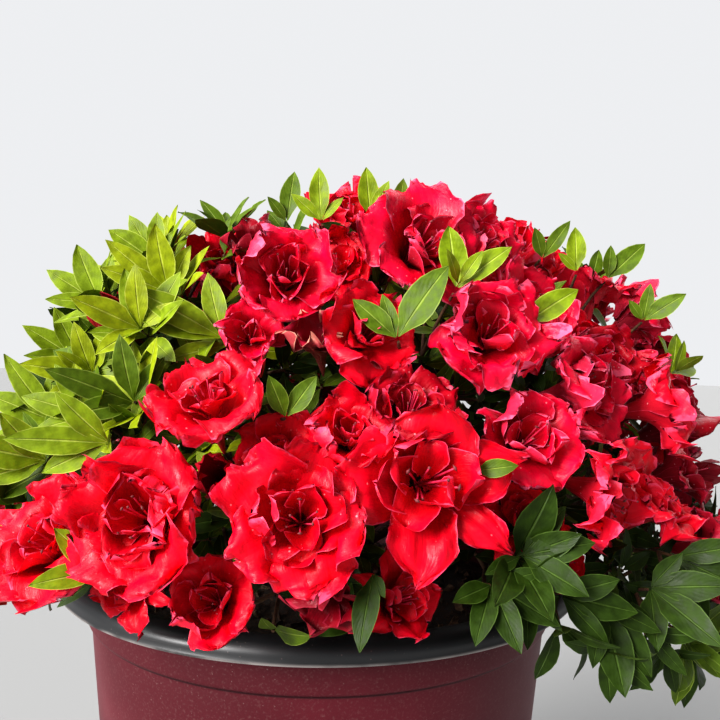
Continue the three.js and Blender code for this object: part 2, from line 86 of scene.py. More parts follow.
# Pot wall
# A blow-moulded nursery pot of burgundy polyethylene: one thin tapered shell with a floor and four drain
# holes. The band that takes the next pot when they are stacked stands proud above a narrow step.
POT_HEIGHT, WALL_TOP, WALL_FOOT, SHEET = 240, 128, 105, 1.6
STEP_HEIGHT, STEP_INSET, FOOT_ROUND, FLOOR_TOP, POT_SIDES = 214, 1.8, 4, 2.4, 144
HOLE_RADIUS, HOLE_CIRCLE, HOLES = 7, 78, 4
BURGUNDY, BURGUNDY_SHADE = (0.126, 0.011, 0.021, 1), (0.082, 0.007, 0.013, 1)
DUST, STEP_SHADE = (0.36, 0.24, 0.22, 1), (0.020, 0.004, 0.006, 1)
SCUFF_RING, STEP_SHADE_HEIGHT = 0.2288, 0.2130


def wall_radius(height):
    inset = STEP_INSET if height < STEP_HEIGHT else 0
    return WALL_FOOT + (WALL_TOP - WALL_FOOT) * height / POT_HEIGHT - inset


def softened(profile, rounds=2, closed=False):
    """Corners cut again and again, which rounds them as moulding does."""
    for _ in range(rounds):
        pairs = list(zip(profile, profile[1:] + profile[:1]))
        cut = []
        for (r0, z0), (r1, z1) in pairs if closed else pairs[:-1]:
            cut.append((0.75 * r0 + 0.25 * r1, 0.75 * z0 + 0.25 * z1))
            cut.append((0.25 * r0 + 0.75 * r1, 0.25 * z0 + 0.75 * z1))
        profile = cut if closed else [profile[0], *cut, profile[-1]]
    return profile


def circle(sides):
    """Even steps round a circle of radius 1."""
    angles = [2 * math.pi * side / sides for side in range(sides)]
    return [(math.cos(angle), math.sin(angle)) for angle in angles]


def mesh_of(shape, name):
    mesh = bpy.data.meshes.new(name)
    shape.to_mesh(mesh)
    shape.free()
    return mesh


def turned(name, profile, sides, closed=False):
    """A mesh turned round the pot's axis from a profile of radius and height."""
    shape = bmesh.new()
    rings = []
    for radius, height in profile:
        points = [(radius * MM * x, radius * MM * y) for x, y in circle(sides)] if radius else [(0, 0)]
        rings.append([shape.verts.new((x, y, height * MM)) for x, y in points])
    pairs = list(zip(rings, rings[1:] + rings[:1]))
    for lower, upper in pairs if closed else pairs[:-1]:
        for side in range(sides):
            corners = [lower[side % len(lower)], lower[(side + 1) % sides % len(lower)]]
            corners += [upper[(side + 1) % sides % len(upper)], upper[side % len(upper)]]
            shape.faces.new(list(dict.fromkeys(corners)))
    bmesh.ops.recalc_face_normals(shape, faces=shape.faces)
    mesh = mesh_of(shape, name)
    mesh.shade_smooth()
    return mesh


def show(name, mesh, nodes=(), material=None):
    """Puts a finished piece in the scene, on the root body, in place of the nodes that it stands for."""
    piece = in_scene(name, mesh)
    if material:
        mesh.materials.append(material)
    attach(piece, "root")
    if nodes:
        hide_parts(*nodes)


def node(tree, kind, links=None, **settings):
    """The outputs of a new node, with its settings, and its inputs linked or given plain values."""
    made = tree.nodes.new(kind)
    for key, value in settings.items():
        setattr(made, key, value)
    for key, value in (links or {}).items():
        if isinstance(value, bpy.types.NodeSocket):
            tree.links.new(value, made.inputs[key])
        else:
            made.inputs[key].default_value = value
    return made.outputs


def worked(operation, first, second=0.0):
    """One sum of two values."""
    return node(first.id_data, "ShaderNodeMath", {0: first, 1: second}, operation=operation)[0]


def plus(first, second):
    return worked("ADD", first, second)


def times(first, second):
    return worked("MULTIPLY", first, second)


def apart(value, spot):
    """How far a value is from a spot, either way."""
    return worked("ABSOLUTE", worked("SUBTRACT", value, spot))


def ranged(value, low, high, start=0.0, end=1.0):
    """The value's share of the way from low to high, smoothly, between start and end."""
    links = {"Value": value, "From Min": low, "From Max": high, "To Min": start, "To Max": end}
    return node(value.id_data, "ShaderNodeMapRange", links, interpolation_type="SMOOTHSTEP")["Result"]


def blended(share, first, second):
    """Two colours blended by a share."""
    return node(share.id_data, "ShaderNodeMix", {0: share, 6: first, 7: second}, data_type="RGBA")[2]


def clouds(place, fineness, detail, rough=0.5):
    links = {"Vector": place, "Scale": fineness, "Detail": detail, "Roughness": rough}
    return node(place.id_data, "ShaderNodeTexNoise", links)["Fac"]


def parts_of(place):
    return node(place.id_data, "ShaderNodeSeparateXYZ", {"Vector": place})


def used(tree, group, **values):
    """The outputs of a group of nodes that is used in a tree, with some of its inputs given."""
    return node(tree, "ShaderNodeGroup", values, node_tree=group)


def place_in(tree):
    return node(tree, "ShaderNodeTexCoord")["Object"]


def shader_group(name, **inputs):
    """An empty group of shader nodes, its named inputs, and the place that it works at."""
    group = bpy.data.node_groups.new(name, "ShaderNodeTree")
    for label, value in inputs.items():
        kind = "NodeSocketFloat" if isinstance(value, float) else "NodeSocketColor"
        group.interface.new_socket(label, in_out="INPUT", socket_type=kind).default_value = value
    return group, group.nodes.new("NodeGroupInput").outputs, place_in(group)


def ended(group, **values):
    """The group, which gives each value out at a socket of its name."""
    for label in values:
        kind = "NodeSocketColor" if label == "Colour" else "NodeSocketFloat"
        group.interface.new_socket(label, in_out="OUTPUT", socket_type=kind)
    outputs = group.nodes.new("NodeGroupOutput").inputs
    for label, value in values.items():
        group.links.new(value, outputs[label])
    return group


def begun(name):
    """A new material and its tree of nodes."""
    material = bpy.data.materials.new(name)
    material.use_nodes = True
    return material, material.node_tree


def finished(material, colour, rough, height=None, depth=0.0, strength=0.0, shine=0.5):
    """The material with its colour, roughness, shine and, where it has one, its relief in place."""
    tree = material.node_tree
    shader = tree.nodes["Principled BSDF"].inputs
    tree.links.new(colour, shader["Base Color"])
    tree.links.new(rough, shader["Roughness"])
    shader["Specular IOR Level"].default_value = shine
    if height is not None:
        bump = node(tree, "ShaderNodeBump", {"Height": height, "Distance": depth, "Strength": strength})
        tree.links.new(bump[0], shader["Normal"])
    return material


def specks_group():
    """Dust and splashed grit: small pale dots of uneven size, thicker in some patches than in others."""
    group, given, place = shader_group("Specks", Spacing=300.0, Size=0.2, Cover=0.5)
    links = {"Vector": place, "Scale": given["Spacing"], "Randomness": 1.0}
    dots = node(group, "ShaderNodeTexVoronoi", links)
    dot = ranged(dots["Distance"], given["Size"], times(given["Size"], 0.55))
    chance = node(group, "ShaderNodeSeparateColor", {"Color": dots["Color"]})["Red"]
    chosen = times(dot, worked("LESS_THAN", chance, given["Cover"]))
    mask = times(chosen, ranged(clouds(place, 28.0, 3.0), 0.38, 0.62))
    return ended(group, Mask=mask)


def scuffs_group():
    """Fine scratches that run round a moulded wall, where pots have been slid in and out of each other."""
    group, given, place = shader_group("Scuffs", Fineness=900.0)
    along = parts_of(node(group, "ShaderNodeMapping", {"Vector": place, "Scale": (7.0, 7.0, 1.0)})[0])
    line = {"X": along["X"], "Y": along["Y"], "Z": times(along["Z"], given["Fineness"])}
    streak = clouds(node(group, "ShaderNodeCombineXYZ", line)[0], 1.0, 2.0)
    mask = times(ranged(streak, 0.62, 0.78), ranged(clouds(place, 16.0, 2.0), 0.45, 0.68))
    return ended(group, Mask=mask)


specks, scuffs = specks_group(), scuffs_group()


def burgundy_plastic():
    material, tree = begun("burgundy plastic")
    place = place_in(tree)
    grit = used(tree, specks, Spacing=620, Size=0.2, Cover=0.22)["Mask"]
    marks = used(tree, scuffs)["Mask"]
    cloud, high = clouds(place, 9.0, 4.0), parts_of(place)["Z"]
    ring = times(ranged(apart(high, SCUFF_RING), 0.0006, 0.0002), ranged(cloud, 0.42, 0.56))
    colour = blended(ranged(cloud, 0.35, 0.65), BURGUNDY, BURGUNDY_SHADE)
    colour = blended(ranged(clouds(place, 900.0, 3.0), 0.5, 0.75, 0.0, 0.10), colour, DUST)
    for dusty in (times(marks, 0.16), times(grit, 0.3), times(ring, 0.6)):
        colour = blended(dusty, colour, DUST)
    # A thin dark line of painted shade lies in the recess of the step.
    colour = blended(ranged(apart(high, STEP_SHADE_HEIGHT), 0.0012, 0.0004, 0.0, 0.75), colour, STEP_SHADE)
    rough = plus(ranged(cloud, 0.3, 0.7, 0.42, 0.54), times(marks, 0.2))
    height = plus(clouds(place, 45.0, 2.0), times(grit, 0.6))
    return finished(material, colour, rough, height, 0.0006, 0.35, 0.28)


def pot_wall_mesh():
    """The shell. Each point is told by a level of the wall, how far out of the wall it is, and its height."""
    top = POT_HEIGHT - 5.3
    outside = [
        (0, -FOOT_ROUND - 3, 0), (0, 1 - FOOT_ROUND, 0), (FOOT_ROUND, -0.3, FOOT_ROUND - 1),
        (FOOT_ROUND + 4, 0, FOOT_ROUND + 4), (110, 0, 110), (STEP_HEIGHT - 5, 0, STEP_HEIGHT - 5),
        (STEP_HEIGHT - 2.4, -0.3, STEP_HEIGHT - 2.2), (STEP_HEIGHT - 1, 0.1, STEP_HEIGHT - 1.1),
        (STEP_HEIGHT, 0.2, STEP_HEIGHT + 0.2), (STEP_HEIGHT + 3, 0.1, STEP_HEIGHT + 3), (top, 0, top),
    ]
    inside = [
        (top, 0, top), (STEP_HEIGHT, 0, STEP_HEIGHT + 1), (STEP_HEIGHT - 3, 0, STEP_HEIGHT - 3),
        (FOOT_ROUND, 0, FOOT_ROUND + 2), (0, -FOOT_ROUND, FLOOR_TOP),
    ]
    outer = [(0, 0)] + [(wall_radius(level) + out, height) for level, out, height in outside]
    inner = [(wall_radius(level) + out - SHEET, height) for level, out, height in inside] + [(0, FLOOR_TOP)]
    return turned("pot_wall_shell", softened(outer) + softened(inner, 1), POT_SIDES)


def drilled(mesh):
    """The pot with its drain holes cut through the floor."""
    shape = bmesh.new()
    for hole in range(HOLES):
        angle = math.radians(45 + 360 * hole / HOLES)
        place = Vector((math.cos(angle), math.sin(angle), 0)) * HOLE_CIRCLE * MM
        size = {"segments": 28, "radius1": HOLE_RADIUS * MM, "radius2": HOLE_RADIUS * MM, "depth": 0.012}
        bmesh.ops.create_cone(shape, cap_ends=True, matrix=Matrix.Translation(place), **size)
    pot, drill = in_scene("shell", mesh), in_scene("drill", mesh_of(shape, "drill"))
    cut = pot.modifiers.new("holes", "BOOLEAN")
    cut.operation = "DIFFERENCE"
    cut.object = drill
    result = bpy.data.meshes.new_from_object(pot.evaluated_get(bpy.context.evaluated_depsgraph_get()))
    for piece in (pot, drill):
        bpy.data.objects.remove(piece)
    return result


show("nursery_pot_wall", drilled(pot_wall_mesh()), ["pot_wall"], burgundy_plastic())


# Pot rim
# The lip is rolled outwards and down from the wall, in glossy black. Rain and handling have left it lightly
# dusted, and the sky shines along its top.
RIM_RADIUS, RIM_DROP = 140, 8
RIM_BLACK, RIM_WORN = (0.012, 0.0125, 0.0140, 1), (0.42, 0.38, 0.36, 1)


def black_plastic():
    material, tree = begun("black plastic")
    place = place_in(tree)
    grit = used(tree, specks, Spacing=620, Size=0.2, Cover=0.15)["Mask"]
    marks = used(tree, scuffs, Fineness=1400)["Mask"]
    cloud, lip_edge = clouds(place, 35.0, 5.0), (POT_HEIGHT - RIM_DROP) * MM
    worn = times(ranged(parts_of(place)["Z"], lip_edge + 0.0015, lip_edge), ranged(cloud, 0.35, 0.6))
    colour = blended(times(grit, 0.25), RIM_BLACK, DUST)
    colour = blended(times(worn, 0.8), colour, RIM_WORN)
    colour = blended(times(marks, 0.12), colour, DUST)
    rough = ranged(cloud, 0.3, 0.7, 0.34, 0.46)
    return finished(material, colour, rough, plus(cloud, grit), 0.0004, 0.2, 0.65)


def rim_mesh():
    section = [
        (WALL_TOP - 2.6, -5), (WALL_TOP - 2.8, -2.5), (WALL_TOP - 1.2, -0.6), (WALL_TOP + 3, 0.3),
        (RIM_RADIUS - 6, 0.5), (RIM_RADIUS - 2.2, -0.6), (RIM_RADIUS - 0.2, -3.2), (RIM_RADIUS + 0.1, -6.2),
        (RIM_RADIUS + 0.6, 0.3 - RIM_DROP), (RIM_RADIUS - 0.2, -0.3 - RIM_DROP),
        (RIM_RADIUS - 1.7, 0.2 - RIM_DROP), (RIM_RADIUS - 1.7, -4.6), (RIM_RADIUS - 5, -2.7),
        (WALL_TOP + 2, -2.5), (WALL_TOP + 0.4, -5),
    ]
    profile = [(radius, POT_HEIGHT + rise) for radius, rise in section]
    return turned("pot_rim_lip", softened(profile, closed=True), POT_SIDES, closed=True)


show("nursery_pot_rim", rim_mesh(), ["pot_rim"], black_plastic())


# Potting mix
# Damp composted bark and peat fills the pot to a finger's width below the rim. Chips of bark lie on top, and
# the surface is uneven from watering.
MIX_EDGE, MIX_TOP, MIX_FLAT, MIX_RADIUS = 214, 218, 30, 121.5
CHIPS_PER_SQUARE_METRE, CHIP_LENGTH = 11000.0, 0.0085
MIX_DARK, MIX_BROWN = (0.014, 0.009, 0.007, 1), (0.060, 0.032, 0.018, 1)
CHIP_BROWN, CHIP_PALE = (0.085, 0.042, 0.022, 1), (0.19, 0.115, 0.065, 1)


def crumbly(name, dark, light, fineness):
    """Loose damp matter: dark in its hollows and lighter on its crumbs."""
    material, tree = begun(name)
    crumbs = clouds(place_in(tree), fineness, 8.0, 0.7)
    colour = blended(ranged(crumbs, 0.4, 0.62), dark, light)
    return finished(material, colour, ranged(crumbs, 0.3, 0.7, 0.62, 0.95), crumbs, 0.002, 0.8)


def mix_height(radius):
    share = max(0.0, (radius - MIX_FLAT) / (MIX_RADIUS - MIX_FLAT))
    return MIX_TOP - (MIX_TOP - MIX_EDGE + 1) * share


def mix_mesh():
    floor, edge, steps = FLOOR_TOP + 0.3, wall_radius(MIX_EDGE - 6) - SHEET - 0.8, 40
    profile = [(0, floor), (wall_radius(0) - FOOT_ROUND - SHEET - 1.3, floor)]
    profile += [(wall_radius(FOOT_ROUND) - SHEET - 1.3, FOOT_ROUND + 2), (edge, MIX_EDGE - 6)]
    for step in range(steps + 1):
        radius = edge * (1 - step / steps)
        profile.append((radius, mix_height(radius)))
    mesh = turned("mix_surface", profile, 120)
    for vertex in mesh.vertices:
        if vertex.co.z > (MIX_EDGE - 3) * MM:
            vertex.co.z += (1.0 * noise.noise(vertex.co * 70) + 0.8 * noise.noise(vertex.co * 240)) * MM
    return mesh


def growth_tree(name, inputs, finishes):
    """An empty tree of geometry nodes, and its inputs: a geometry, those named, and so many finishes."""
    tree = bpy.data.node_groups.new(name, "GeometryNodeTree")
    tree.interface.new_socket("Geometry", in_out="OUTPUT", socket_type="NodeSocketGeometry")
    kinds = {"Geometry": "Geometry"} | inputs | {f"Finish {number}": "Material" for number in range(finishes)}
    for label, kind in kinds.items():
        tree.interface.new_socket(label, in_out="INPUT", socket_type="NodeSocket" + kind)
    return tree, tree.nodes.new("NodeGroupInput").outputs


def named(tree, label, kind):
    return node(tree, "GeometryNodeInputNamedAttribute", {"Name": label}, data_type=kind)["Attribute"]


def painted(geometry, given, finishes):
    """The whole tree, which gives out the geometry with each face in the finish that its tint names."""
    tree = geometry.id_data
    geometry = node(tree, "GeometryNodeRealizeInstances", {"Geometry": geometry})[0]
    tint = named(tree, "tint", "INT")
    for number in range(finishes):
        links = {"Geometry": geometry, "Material": given[f"Finish {number}"]}
        if number:
            equal = {"data_type": "INT", "operation": "EQUAL"}
            links["Selection"] = node(tree, "FunctionNodeCompare", {2: tint, 3: number}, **equal)[0]
        geometry = node(tree, "GeometryNodeSetMaterial", links)[0]
    tree.links.new(geometry, tree.nodes.new("NodeGroupOutput").inputs[0])
    return tree


def grown(name, mesh, tree, finishes, **values):
    """The plain mesh that a tree makes of a mesh, with its finishes in order and other inputs by name."""
    values |= {f"Finish {number}": finish for number, finish in enumerate(finishes)}
    seed = in_scene(name, mesh)
    growth = seed.modifiers.new("growth", "NODES")
    growth.node_group = tree
    for socket in tree.interface.items_tree:
        if socket.in_out == "INPUT" and socket.name in values:
            growth[socket.identifier] = values[socket.name]
    graph = bpy.context.evaluated_depsgraph_get()
    whole = {"preserve_all_data_layers": True, "depsgraph": graph}
    made = bpy.data.meshes.new_from_object(seed.evaluated_get(graph), **whole)
    bpy.data.objects.remove(seed)
    return made


def members(patterns):
    """The patterns of a set, each of them by itself."""
    links = {"Collection": patterns, "Separate Children": True}
    return node(patterns.id_data, "GeometryNodeCollectionInfo", links)[0]


def chip_tree():
    """Chips strewn over an upward surface at random turns and sizes."""
    inputs = {"Density": "Float", "Length": "Float", "Seed": "Int", "Chips": "Collection"}
    tree, given = growth_tree("Strewn chips", inputs, 2)
    links = {"Mesh": given["Geometry"], "Density": given["Density"], "Seed": given["Seed"]}
    points = node(tree, "GeometryNodeDistributePointsOnFaces", links)["Points"]
    links = {0: (0.0, 0.0, 0.0), 1: (6.28, 6.28, 6.28), "Seed": given["Seed"]}
    spin = node(tree, "FunctionNodeRandomValue", links, data_type="FLOAT_VECTOR")[0]
    links = {2: 0.35, 3: 1.0, "Seed": given["Seed"]}
    size = node(tree, "FunctionNodeRandomValue", links, data_type="FLOAT")[1]
    links = {"Points": points, "Instance": members(given["Chips"]), "Pick Instance": True}
    links |= {"Rotation": spin, "Scale": times(size, given["Length"])}
    return painted(node(tree, "GeometryNodeInstanceOnPoints", links)[0], given, 2)


def pattern_set(name, meshes):
    """A set of patterns to strew or to set on shoots, kept out of the scene itself."""
    patterns = bpy.data.collections.new(name)
    for number, mesh in enumerate(meshes):
        patterns.objects.link(bpy.data.objects.new(f"{name}_{number:02d}", mesh))
    return patterns


def discard(patterns):
    for pattern in list(patterns.objects):
        bpy.data.objects.remove(pattern)
    bpy.data.collections.remove(patterns)


def mark(mesh, label, kind, domain, values):
    mesh.attributes.new(label, kind, domain).data.foreach_set("value", values)


def chip_mesh(number):
    """A splinter of bark: a thin uneven slab with a tint of its own."""
    noise.seed_set(40 + number)
    shape = bmesh.new()
    bmesh.ops.create_cube(shape, size=1)
    for vertex in shape.verts:
        shift = noise.noise_vector(vertex.co * 1.7 + Vector((9.3 * number, 0, 0)))
        vertex.co = Vector((vertex.co.x, vertex.co.y * 0.55, vertex.co.z * 0.22)) + shift * 0.16
    mesh = mesh_of(shape, "chip")
    mark(mesh, "tint", "INT", "FACE", [number % 2] * len(mesh.polygons))
    return mesh


damp_mix = crumbly("damp mix", MIX_DARK, MIX_BROWN, 420)
show("potting_mix_fill", mix_mesh(), ["potting_mix"], damp_mix)
strewn = turned("strewn", [(radius, mix_height(radius) + 0.4) for radius in (118, 90, 60, 30, 0)], 48)
dark_chip = crumbly("dark bark chip", MIX_DARK, CHIP_BROWN, 600)
pale_chip = crumbly("pale bark chip", CHIP_BROWN, CHIP_PALE, 600)
chips = pattern_set("chip", [chip_mesh(number) for number in range(5)])
strewing = {"Density": CHIPS_PER_SQUARE_METRE, "Length": CHIP_LENGTH, "Seed": 4, "Chips": chips}
show("bark_chips", grown("strewn", strewn, chip_tree(), [dark_chip, pale_chip], **strewing))
discard(chips)


# Stem
# The shrub's one short woody stem comes up through the mix, with a flare of shallow lobes at its foot. Its
# bark is grey-brown, ridged along its length.
STEM_LEVELS = [(0, 20), (9, 13.5), (16.85, 12), (28.7, 10.5), (33.7, 6)]
STEM_LOBES, STEM_LOBE_DEPTH, STEM_LEAN, STEM_TOP, STEM_SIDES, STEM_RINGS = 5, 0.12, 3, 252, 40, 30
BARK_DARK, BARK_LIGHT = (0.035, 0.020, 0.013, 1), (0.17, 0.105, 0.070, 1)


def bark_group():
    """Ridges and flakes along a limb, with darker furrows between them."""
    group, given, place = shader_group("Bark", Furrow=BARK_DARK, Ridge=BARK_LIGHT, Fineness=1.0)
    flakes = clouds(place, times(given["Fineness"], 420.0), 6.0, 0.65)
    amount = plus(times(flakes, 0.65), times(clouds(place, 90.0, 3.0), 0.35))
    colour = blended(ranged(amount, 0.38, 0.64), given["Furrow"], given["Ridge"])
    return ended(group, Colour=colour, Height=amount)


bark = bark_group()


def bark_finish(name, furrow, ridge, fineness):
    material, tree = begun(name)
    skin = used(tree, bark, Furrow=furrow, Ridge=ridge, Fineness=fineness)
    rough = ranged(skin["Height"], 0.3, 0.7, 0.7, 0.9)
    return finished(material, skin["Colour"], rough, skin["Height"], 0.0012, 0.8)


def tube(rings):
    """Points and faces of rings joined one after another, closed at both ends."""
    sides = len(rings[0])
    points = [corner for ring in rings for corner in ring]
    faces = [tuple(reversed(range(sides))), tuple(range(len(points) - sides, len(points)))]
    for row in range(0, len(points) - sides, sides):
        for side in range(sides):
            here, after = row + side, row + (side + 1) % sides
            faces.append((here, after, after + sides, here + sides))
    return points, faces


def plain_mesh(name, points, faces, edges=()):
    mesh = bpy.data.meshes.new(name)
    mesh.from_pydata(points, edges, faces)
    mesh.shade_smooth()
    return mesh


def joined(parts):
    """The points and faces of several parts as one."""
    points, faces = [], []
    for part_points, part_faces in parts:
        faces += [tuple(len(points) + corner for corner in face) for face in part_faces]
        points += part_points
    return points, faces


def limbs_mesh(name, parts):
    points, faces = joined(parts)
    return plain_mesh(name, [point * MM for point in points], faces)


def stem_part():
    base, rings = MIX_TOP + 0.3, []
    for number in range(STEM_RINGS + 1):
        rise = number / STEM_RINGS
        height = rise * (STEM_TOP - base)
        spans = zip(STEM_LEVELS, STEM_LEVELS[1:])
        (low, wide), (high, narrow) = next(span for span in spans if height <= span[1][0] + 0.01)
        radius = wide + (narrow - wide) * ((height - low) / (high - low))
        ring = []
        for side, (x, y) in enumerate(circle(STEM_SIDES)):
            lobe = math.cos(STEM_LOBES * (2 * math.pi * side / STEM_SIDES) + 0.6)
            ridge = noise.noise(Vector((3.2 * x, 3.2 * y, height * 0.05)))
            flake = noise.noise(Vector((8 * x, 8 * y, height * 0.22)))
            relief = 0.9 * ridge + 0.4 * flake if rise < 0.95 else 0
            reach = radius * (1 + STEM_LOBE_DEPTH * (1 - rise) * lobe) + relief
            ring.append(Vector((reach * x + STEM_LEAN * rise, reach * y, base + height)))
        rings.append(ring)
    return tube(rings)


bark_brown = bark_finish("stem bark", BARK_DARK, BARK_LIGHT, 0.8)
show("stem_bark", limbs_mesh("stem_bark", [stem_part()]), ["stem"], bark_brown)


# Boughs
# Low, middle and upper boughs fork from the stem at three heights. Each bends up and out to the mass of
# foliage that it carries, tapering as it goes, and its bark is thinner than the stem's.
CROWN_MIDDLE = Vector((20, 0, 258))
CROWN_HALF_WIDTH, CROWN_HALF_DEPTH, CROWN_RISE, CROWN_DROOP = 198, 186, 188, 150
BOUGH_TIP_REACH, HEART_REACH, CORE_REACH = 0.42, 0.56, 0.64
BOUGH_FOOT, BOUGH_TIP, BOUGH_SIDES, BOUGH_STEPS = 3.4, 2.3, 12, 18
BOUGH_DARK, BOUGH_LIGHT = (0.05, 0.024, 0.016, 1), (0.20, 0.115, 0.075, 1)
# For each tier: where it leaves the stem, how steeply, its elevation on the dome, and its masses' bearings.
TIERS = {
    "low": (229, 8, 7, [236, 266, 297, 335, 25, 75, 125, 180]),
    "mid": (239, 28, 33, [246, 279, 311, 5, 65, 130, 205]),
    "top": (246, 48, 66, [265, 25, 145]),
}
MASS_NAMES = {
    "low": ["left_front", "front", "right_front", "right", "right_back", "back_right", "back_left", "left"],
    "mid": ["front_left", "front", "front_right", "right", "back_right", "back_left", "left"],
    "top": ["front", "right", "left"],
}
UP = Vector((0, 0, 1))


def seeded(seed):
    """A stream of numbers from 0 to 1 that is the same each time for one seed."""
    state = (seed * 2654435761 + 12345) % 4294967296

    def number():
        nonlocal state
        state = (state * 1664525 + 1013904223) % 4294967296
        return state / 4294967296

    return number


def heading(bearing, elevation):
    """The direction for a bearing round the pot and an elevation above the ground, in degrees."""
    bearing, elevation = math.radians(bearing), math.radians(elevation)
    flat = math.cos(elevation)
    return Vector((flat * math.cos(bearing), flat * math.sin(bearing), math.sin(elevation)))


def on_dome(bearing, elevation, share):
    """The place that lies a share of the way out from the crown's middle to its lumpy dome."""
    way = heading(bearing, elevation)
    high = CROWN_RISE if way.z > 0 else CROWN_DROOP
    even = 1 / Vector((way.x / CROWN_HALF_WIDTH, way.y / CROWN_HALF_DEPTH, way.z / high)).length
    lumps = 0.022 * math.sin(math.radians(3 * bearing + 75))
    lumps += 0.018 * math.sin(math.radians(5 * bearing + 3 * elevation - 40))
    return CROWN_MIDDLE + way * share * (even * (1 + lumps * math.cos(math.radians(elevation))))


def facing(way, roll):
    """The turn that takes local Z to the given way, rolled about it."""
    z = way.normalized()
    side = Vector((1, 0, 0)) if abs(z.z) > 0.95 else UP
    x = Matrix.Rotation(roll, 3, z) @ side.cross(z).normalized()
    return Matrix((x, z.cross(x), z)).transposed()


def bent(start, out, back, end, steps):
    """Points along a smooth curve that leaves start towards out and comes to end from back."""
    shares = [(step / steps, 1 - step / steps) for step in range(steps + 1)]
    return [start * u ** 3 + out * 3 * t * u ** 2 + back * 3 * t * t * u + end * t ** 3 for t, u in shares]


def limb_part(points, foot, tip, sides, relief):
    """A tapering limb through the points, with shallow bark relief."""
    rings = []
    for number, point in enumerate(points):
        ahead = points[min(number + 1, len(points) - 1)] - points[max(number - 1, 0)]
        turn_to, share = facing(ahead, 0), number / (len(points) - 1)
        ring = []
        for x, y in circle(sides):
            lump = relief * noise.noise(Vector((2 * x, 2 * y, 6 * share)) + point * 0.1)
            radius = foot + (tip - foot) * share + lump
            ring.append(point + turn_to @ Vector((radius * x, radius * y, 0)))
        rings.append(ring)
    return tube(rings)


masses, bough_parts = [], []
for tier, (leaves_stem, rises, elevation, bearings) in TIERS.items():
    fork = Vector((STEM_LEAN * 2 / 3, 0, leaves_stem))
    for number, bearing in enumerate(bearings):
        mass = SimpleNamespace(tier=tier, name=f"{tier}_{MASS_NAMES[tier][number]}")
        mass.way = heading(bearing, elevation)
        mass.tip = on_dome(bearing, elevation, BOUGH_TIP_REACH)
        mass.heart = on_dome(bearing, elevation, HEART_REACH)
        mass.core = on_dome(bearing, elevation, CORE_REACH)
        masses.append(mass)
        reach = (mass.tip - fork).length
        out = fork + heading(bearings[0] + 360 * number / len(bearings), rises) * reach * 0.42
        line = bent(fork, out, mass.tip - mass.way * reach * 0.3, mass.tip, BOUGH_STEPS)
        bough_parts.append(limb_part(line, BOUGH_FOOT, BOUGH_TIP, BOUGH_SIDES, 0.7))
bough_bark = bark_finish("bough bark", BOUGH_DARK, BOUGH_LIGHT, 1.2)
bough_nodes = [f"bough_{mass.name}" for mass in masses]
show("boughs_bark", limbs_mesh("boughs_bark", bough_parts), bough_nodes, bough_bark)


# Shoots
# Every shoot ends in a bloom, a bud or a whorl of leaves just under the dome of the crown. Those to the
# front are placed one by one, by bearing, elevation and size, and the rest are dealt out evenly by the
# golden angle.
BLOOM_REACH, SPRAY_REACH = 0.99, 0.96
LEAF_LENGTH, LEAF_STEEP, LEAF_WIDE = 34, 48, 80
BLOOM_DEPTH = 0.62
FRONT_BLOOMS = [
    (244, 11, 52), (249, 24, 44), (230, 7, 56), (261, 12, 48), (275, 15, 58), (257, 20, 40),
    (266, 23, 38), (274, 27, 44), (286, 34, 48), (290, 22, 52), (303, 27, 52), (301, 40, 52),
    (279, 49, 54), (254, 43, 46), (251, 34, 36), (300, 56, 40), (269, 35, 42), (301, 13, 48),
    (320, 24, 48), (315, 14, 48), (251, 4, 42), (275, 5, 42), (297, 7, 38), (288, 13, 40),
    (279, 20, 38), (313, 33, 42),
]
FADED_BLOOMS = [(260, 34, 34), (264, 3, 34), (241, 52, 28), (75, 48, 34), (20, 16, 32), (150, 8, 34)]
BUDS = [(251, 16, 20), (255, 15, 18), (226, 34, 18), (110, 30, 20), (45, 55, 18), (350, 10, 18)]
FRONT_SPRAYS = [
    (223, 27), (227, 42), (235, 24), (243, 38), (199, 30), (210, 20), (233, 33), (238, 18),
    (246, 57), (256, 58), (268, 62), (277, 60), (318, 53), (321, 46), (333, 44), (334, 35),
    (292, 2), (306, 1), (283, 3), (269, 0), (299, -4), (312, 5), (287, 8),
    (273, 37), (294, 38), (257, 26), (281, 19), (238, 4), (282, 41), (334, 28),
]
FILL_BLOOMS, FILL_BLOOMS_FROM, BLOOMS_APART = 110, 0, 41
FILL_SPRAYS, FILL_SPRAYS_FROM, SPRAYS_APART = 230, -12, 26
GAP_BLOOMS, GAP_BLOOMS_FROM, GAP_BLOOMS_APART, GAP_SPRAYS_APART, GAP_DEPTH = 420, -4, 27, 10, 7
LEAFY_PATCHES = [(215, 28, 27), (303, -6, 18), (52, 32, 17), (137, 4, 18)]
GOLDEN = 137.50776
OPEN, OTHERS = ("bloom",), ("faded", "bud", "spray")
shoots = []


def tossed(random):
    """A chance step of up to half a unit each way."""
    return Vector((random() - 0.5, random() - 0.5, random() - 0.5))


def add_shoot(kind, bearing, elevation, size):
    random = seeded(len(shoots) + 1)
    place = on_dome(bearing, elevation, (SPRAY_REACH if kind == "spray" else BLOOM_REACH) - 0.05 * random())
    way = heading(bearing, elevation) + tossed(random) * 0.55 + UP * (-0.25 if elevation < 0 else 0.12)
    mass = max(masses, key=lambda m: m.way.dot(heading(bearing, elevation)))
    shoots.append(SimpleNamespace(
        kind=kind, bearing=bearing, elevation=elevation, size=size, place=place, way=way.normalized(),
        roll=2 * math.pi * random(), random=random, mass=mass, number=len(shoots), outward=None,
    ))
    return shoots[-1]


def dealt(count, from_elevation):
    """Even places over the dome, each by its bearing and elevation."""
    low = math.sin(math.radians(from_elevation))
    for number in range(count):
        yield (number * GOLDEN) % 360, math.degrees(math.asin(low + (1 - low) * (number + 0.5) / count))


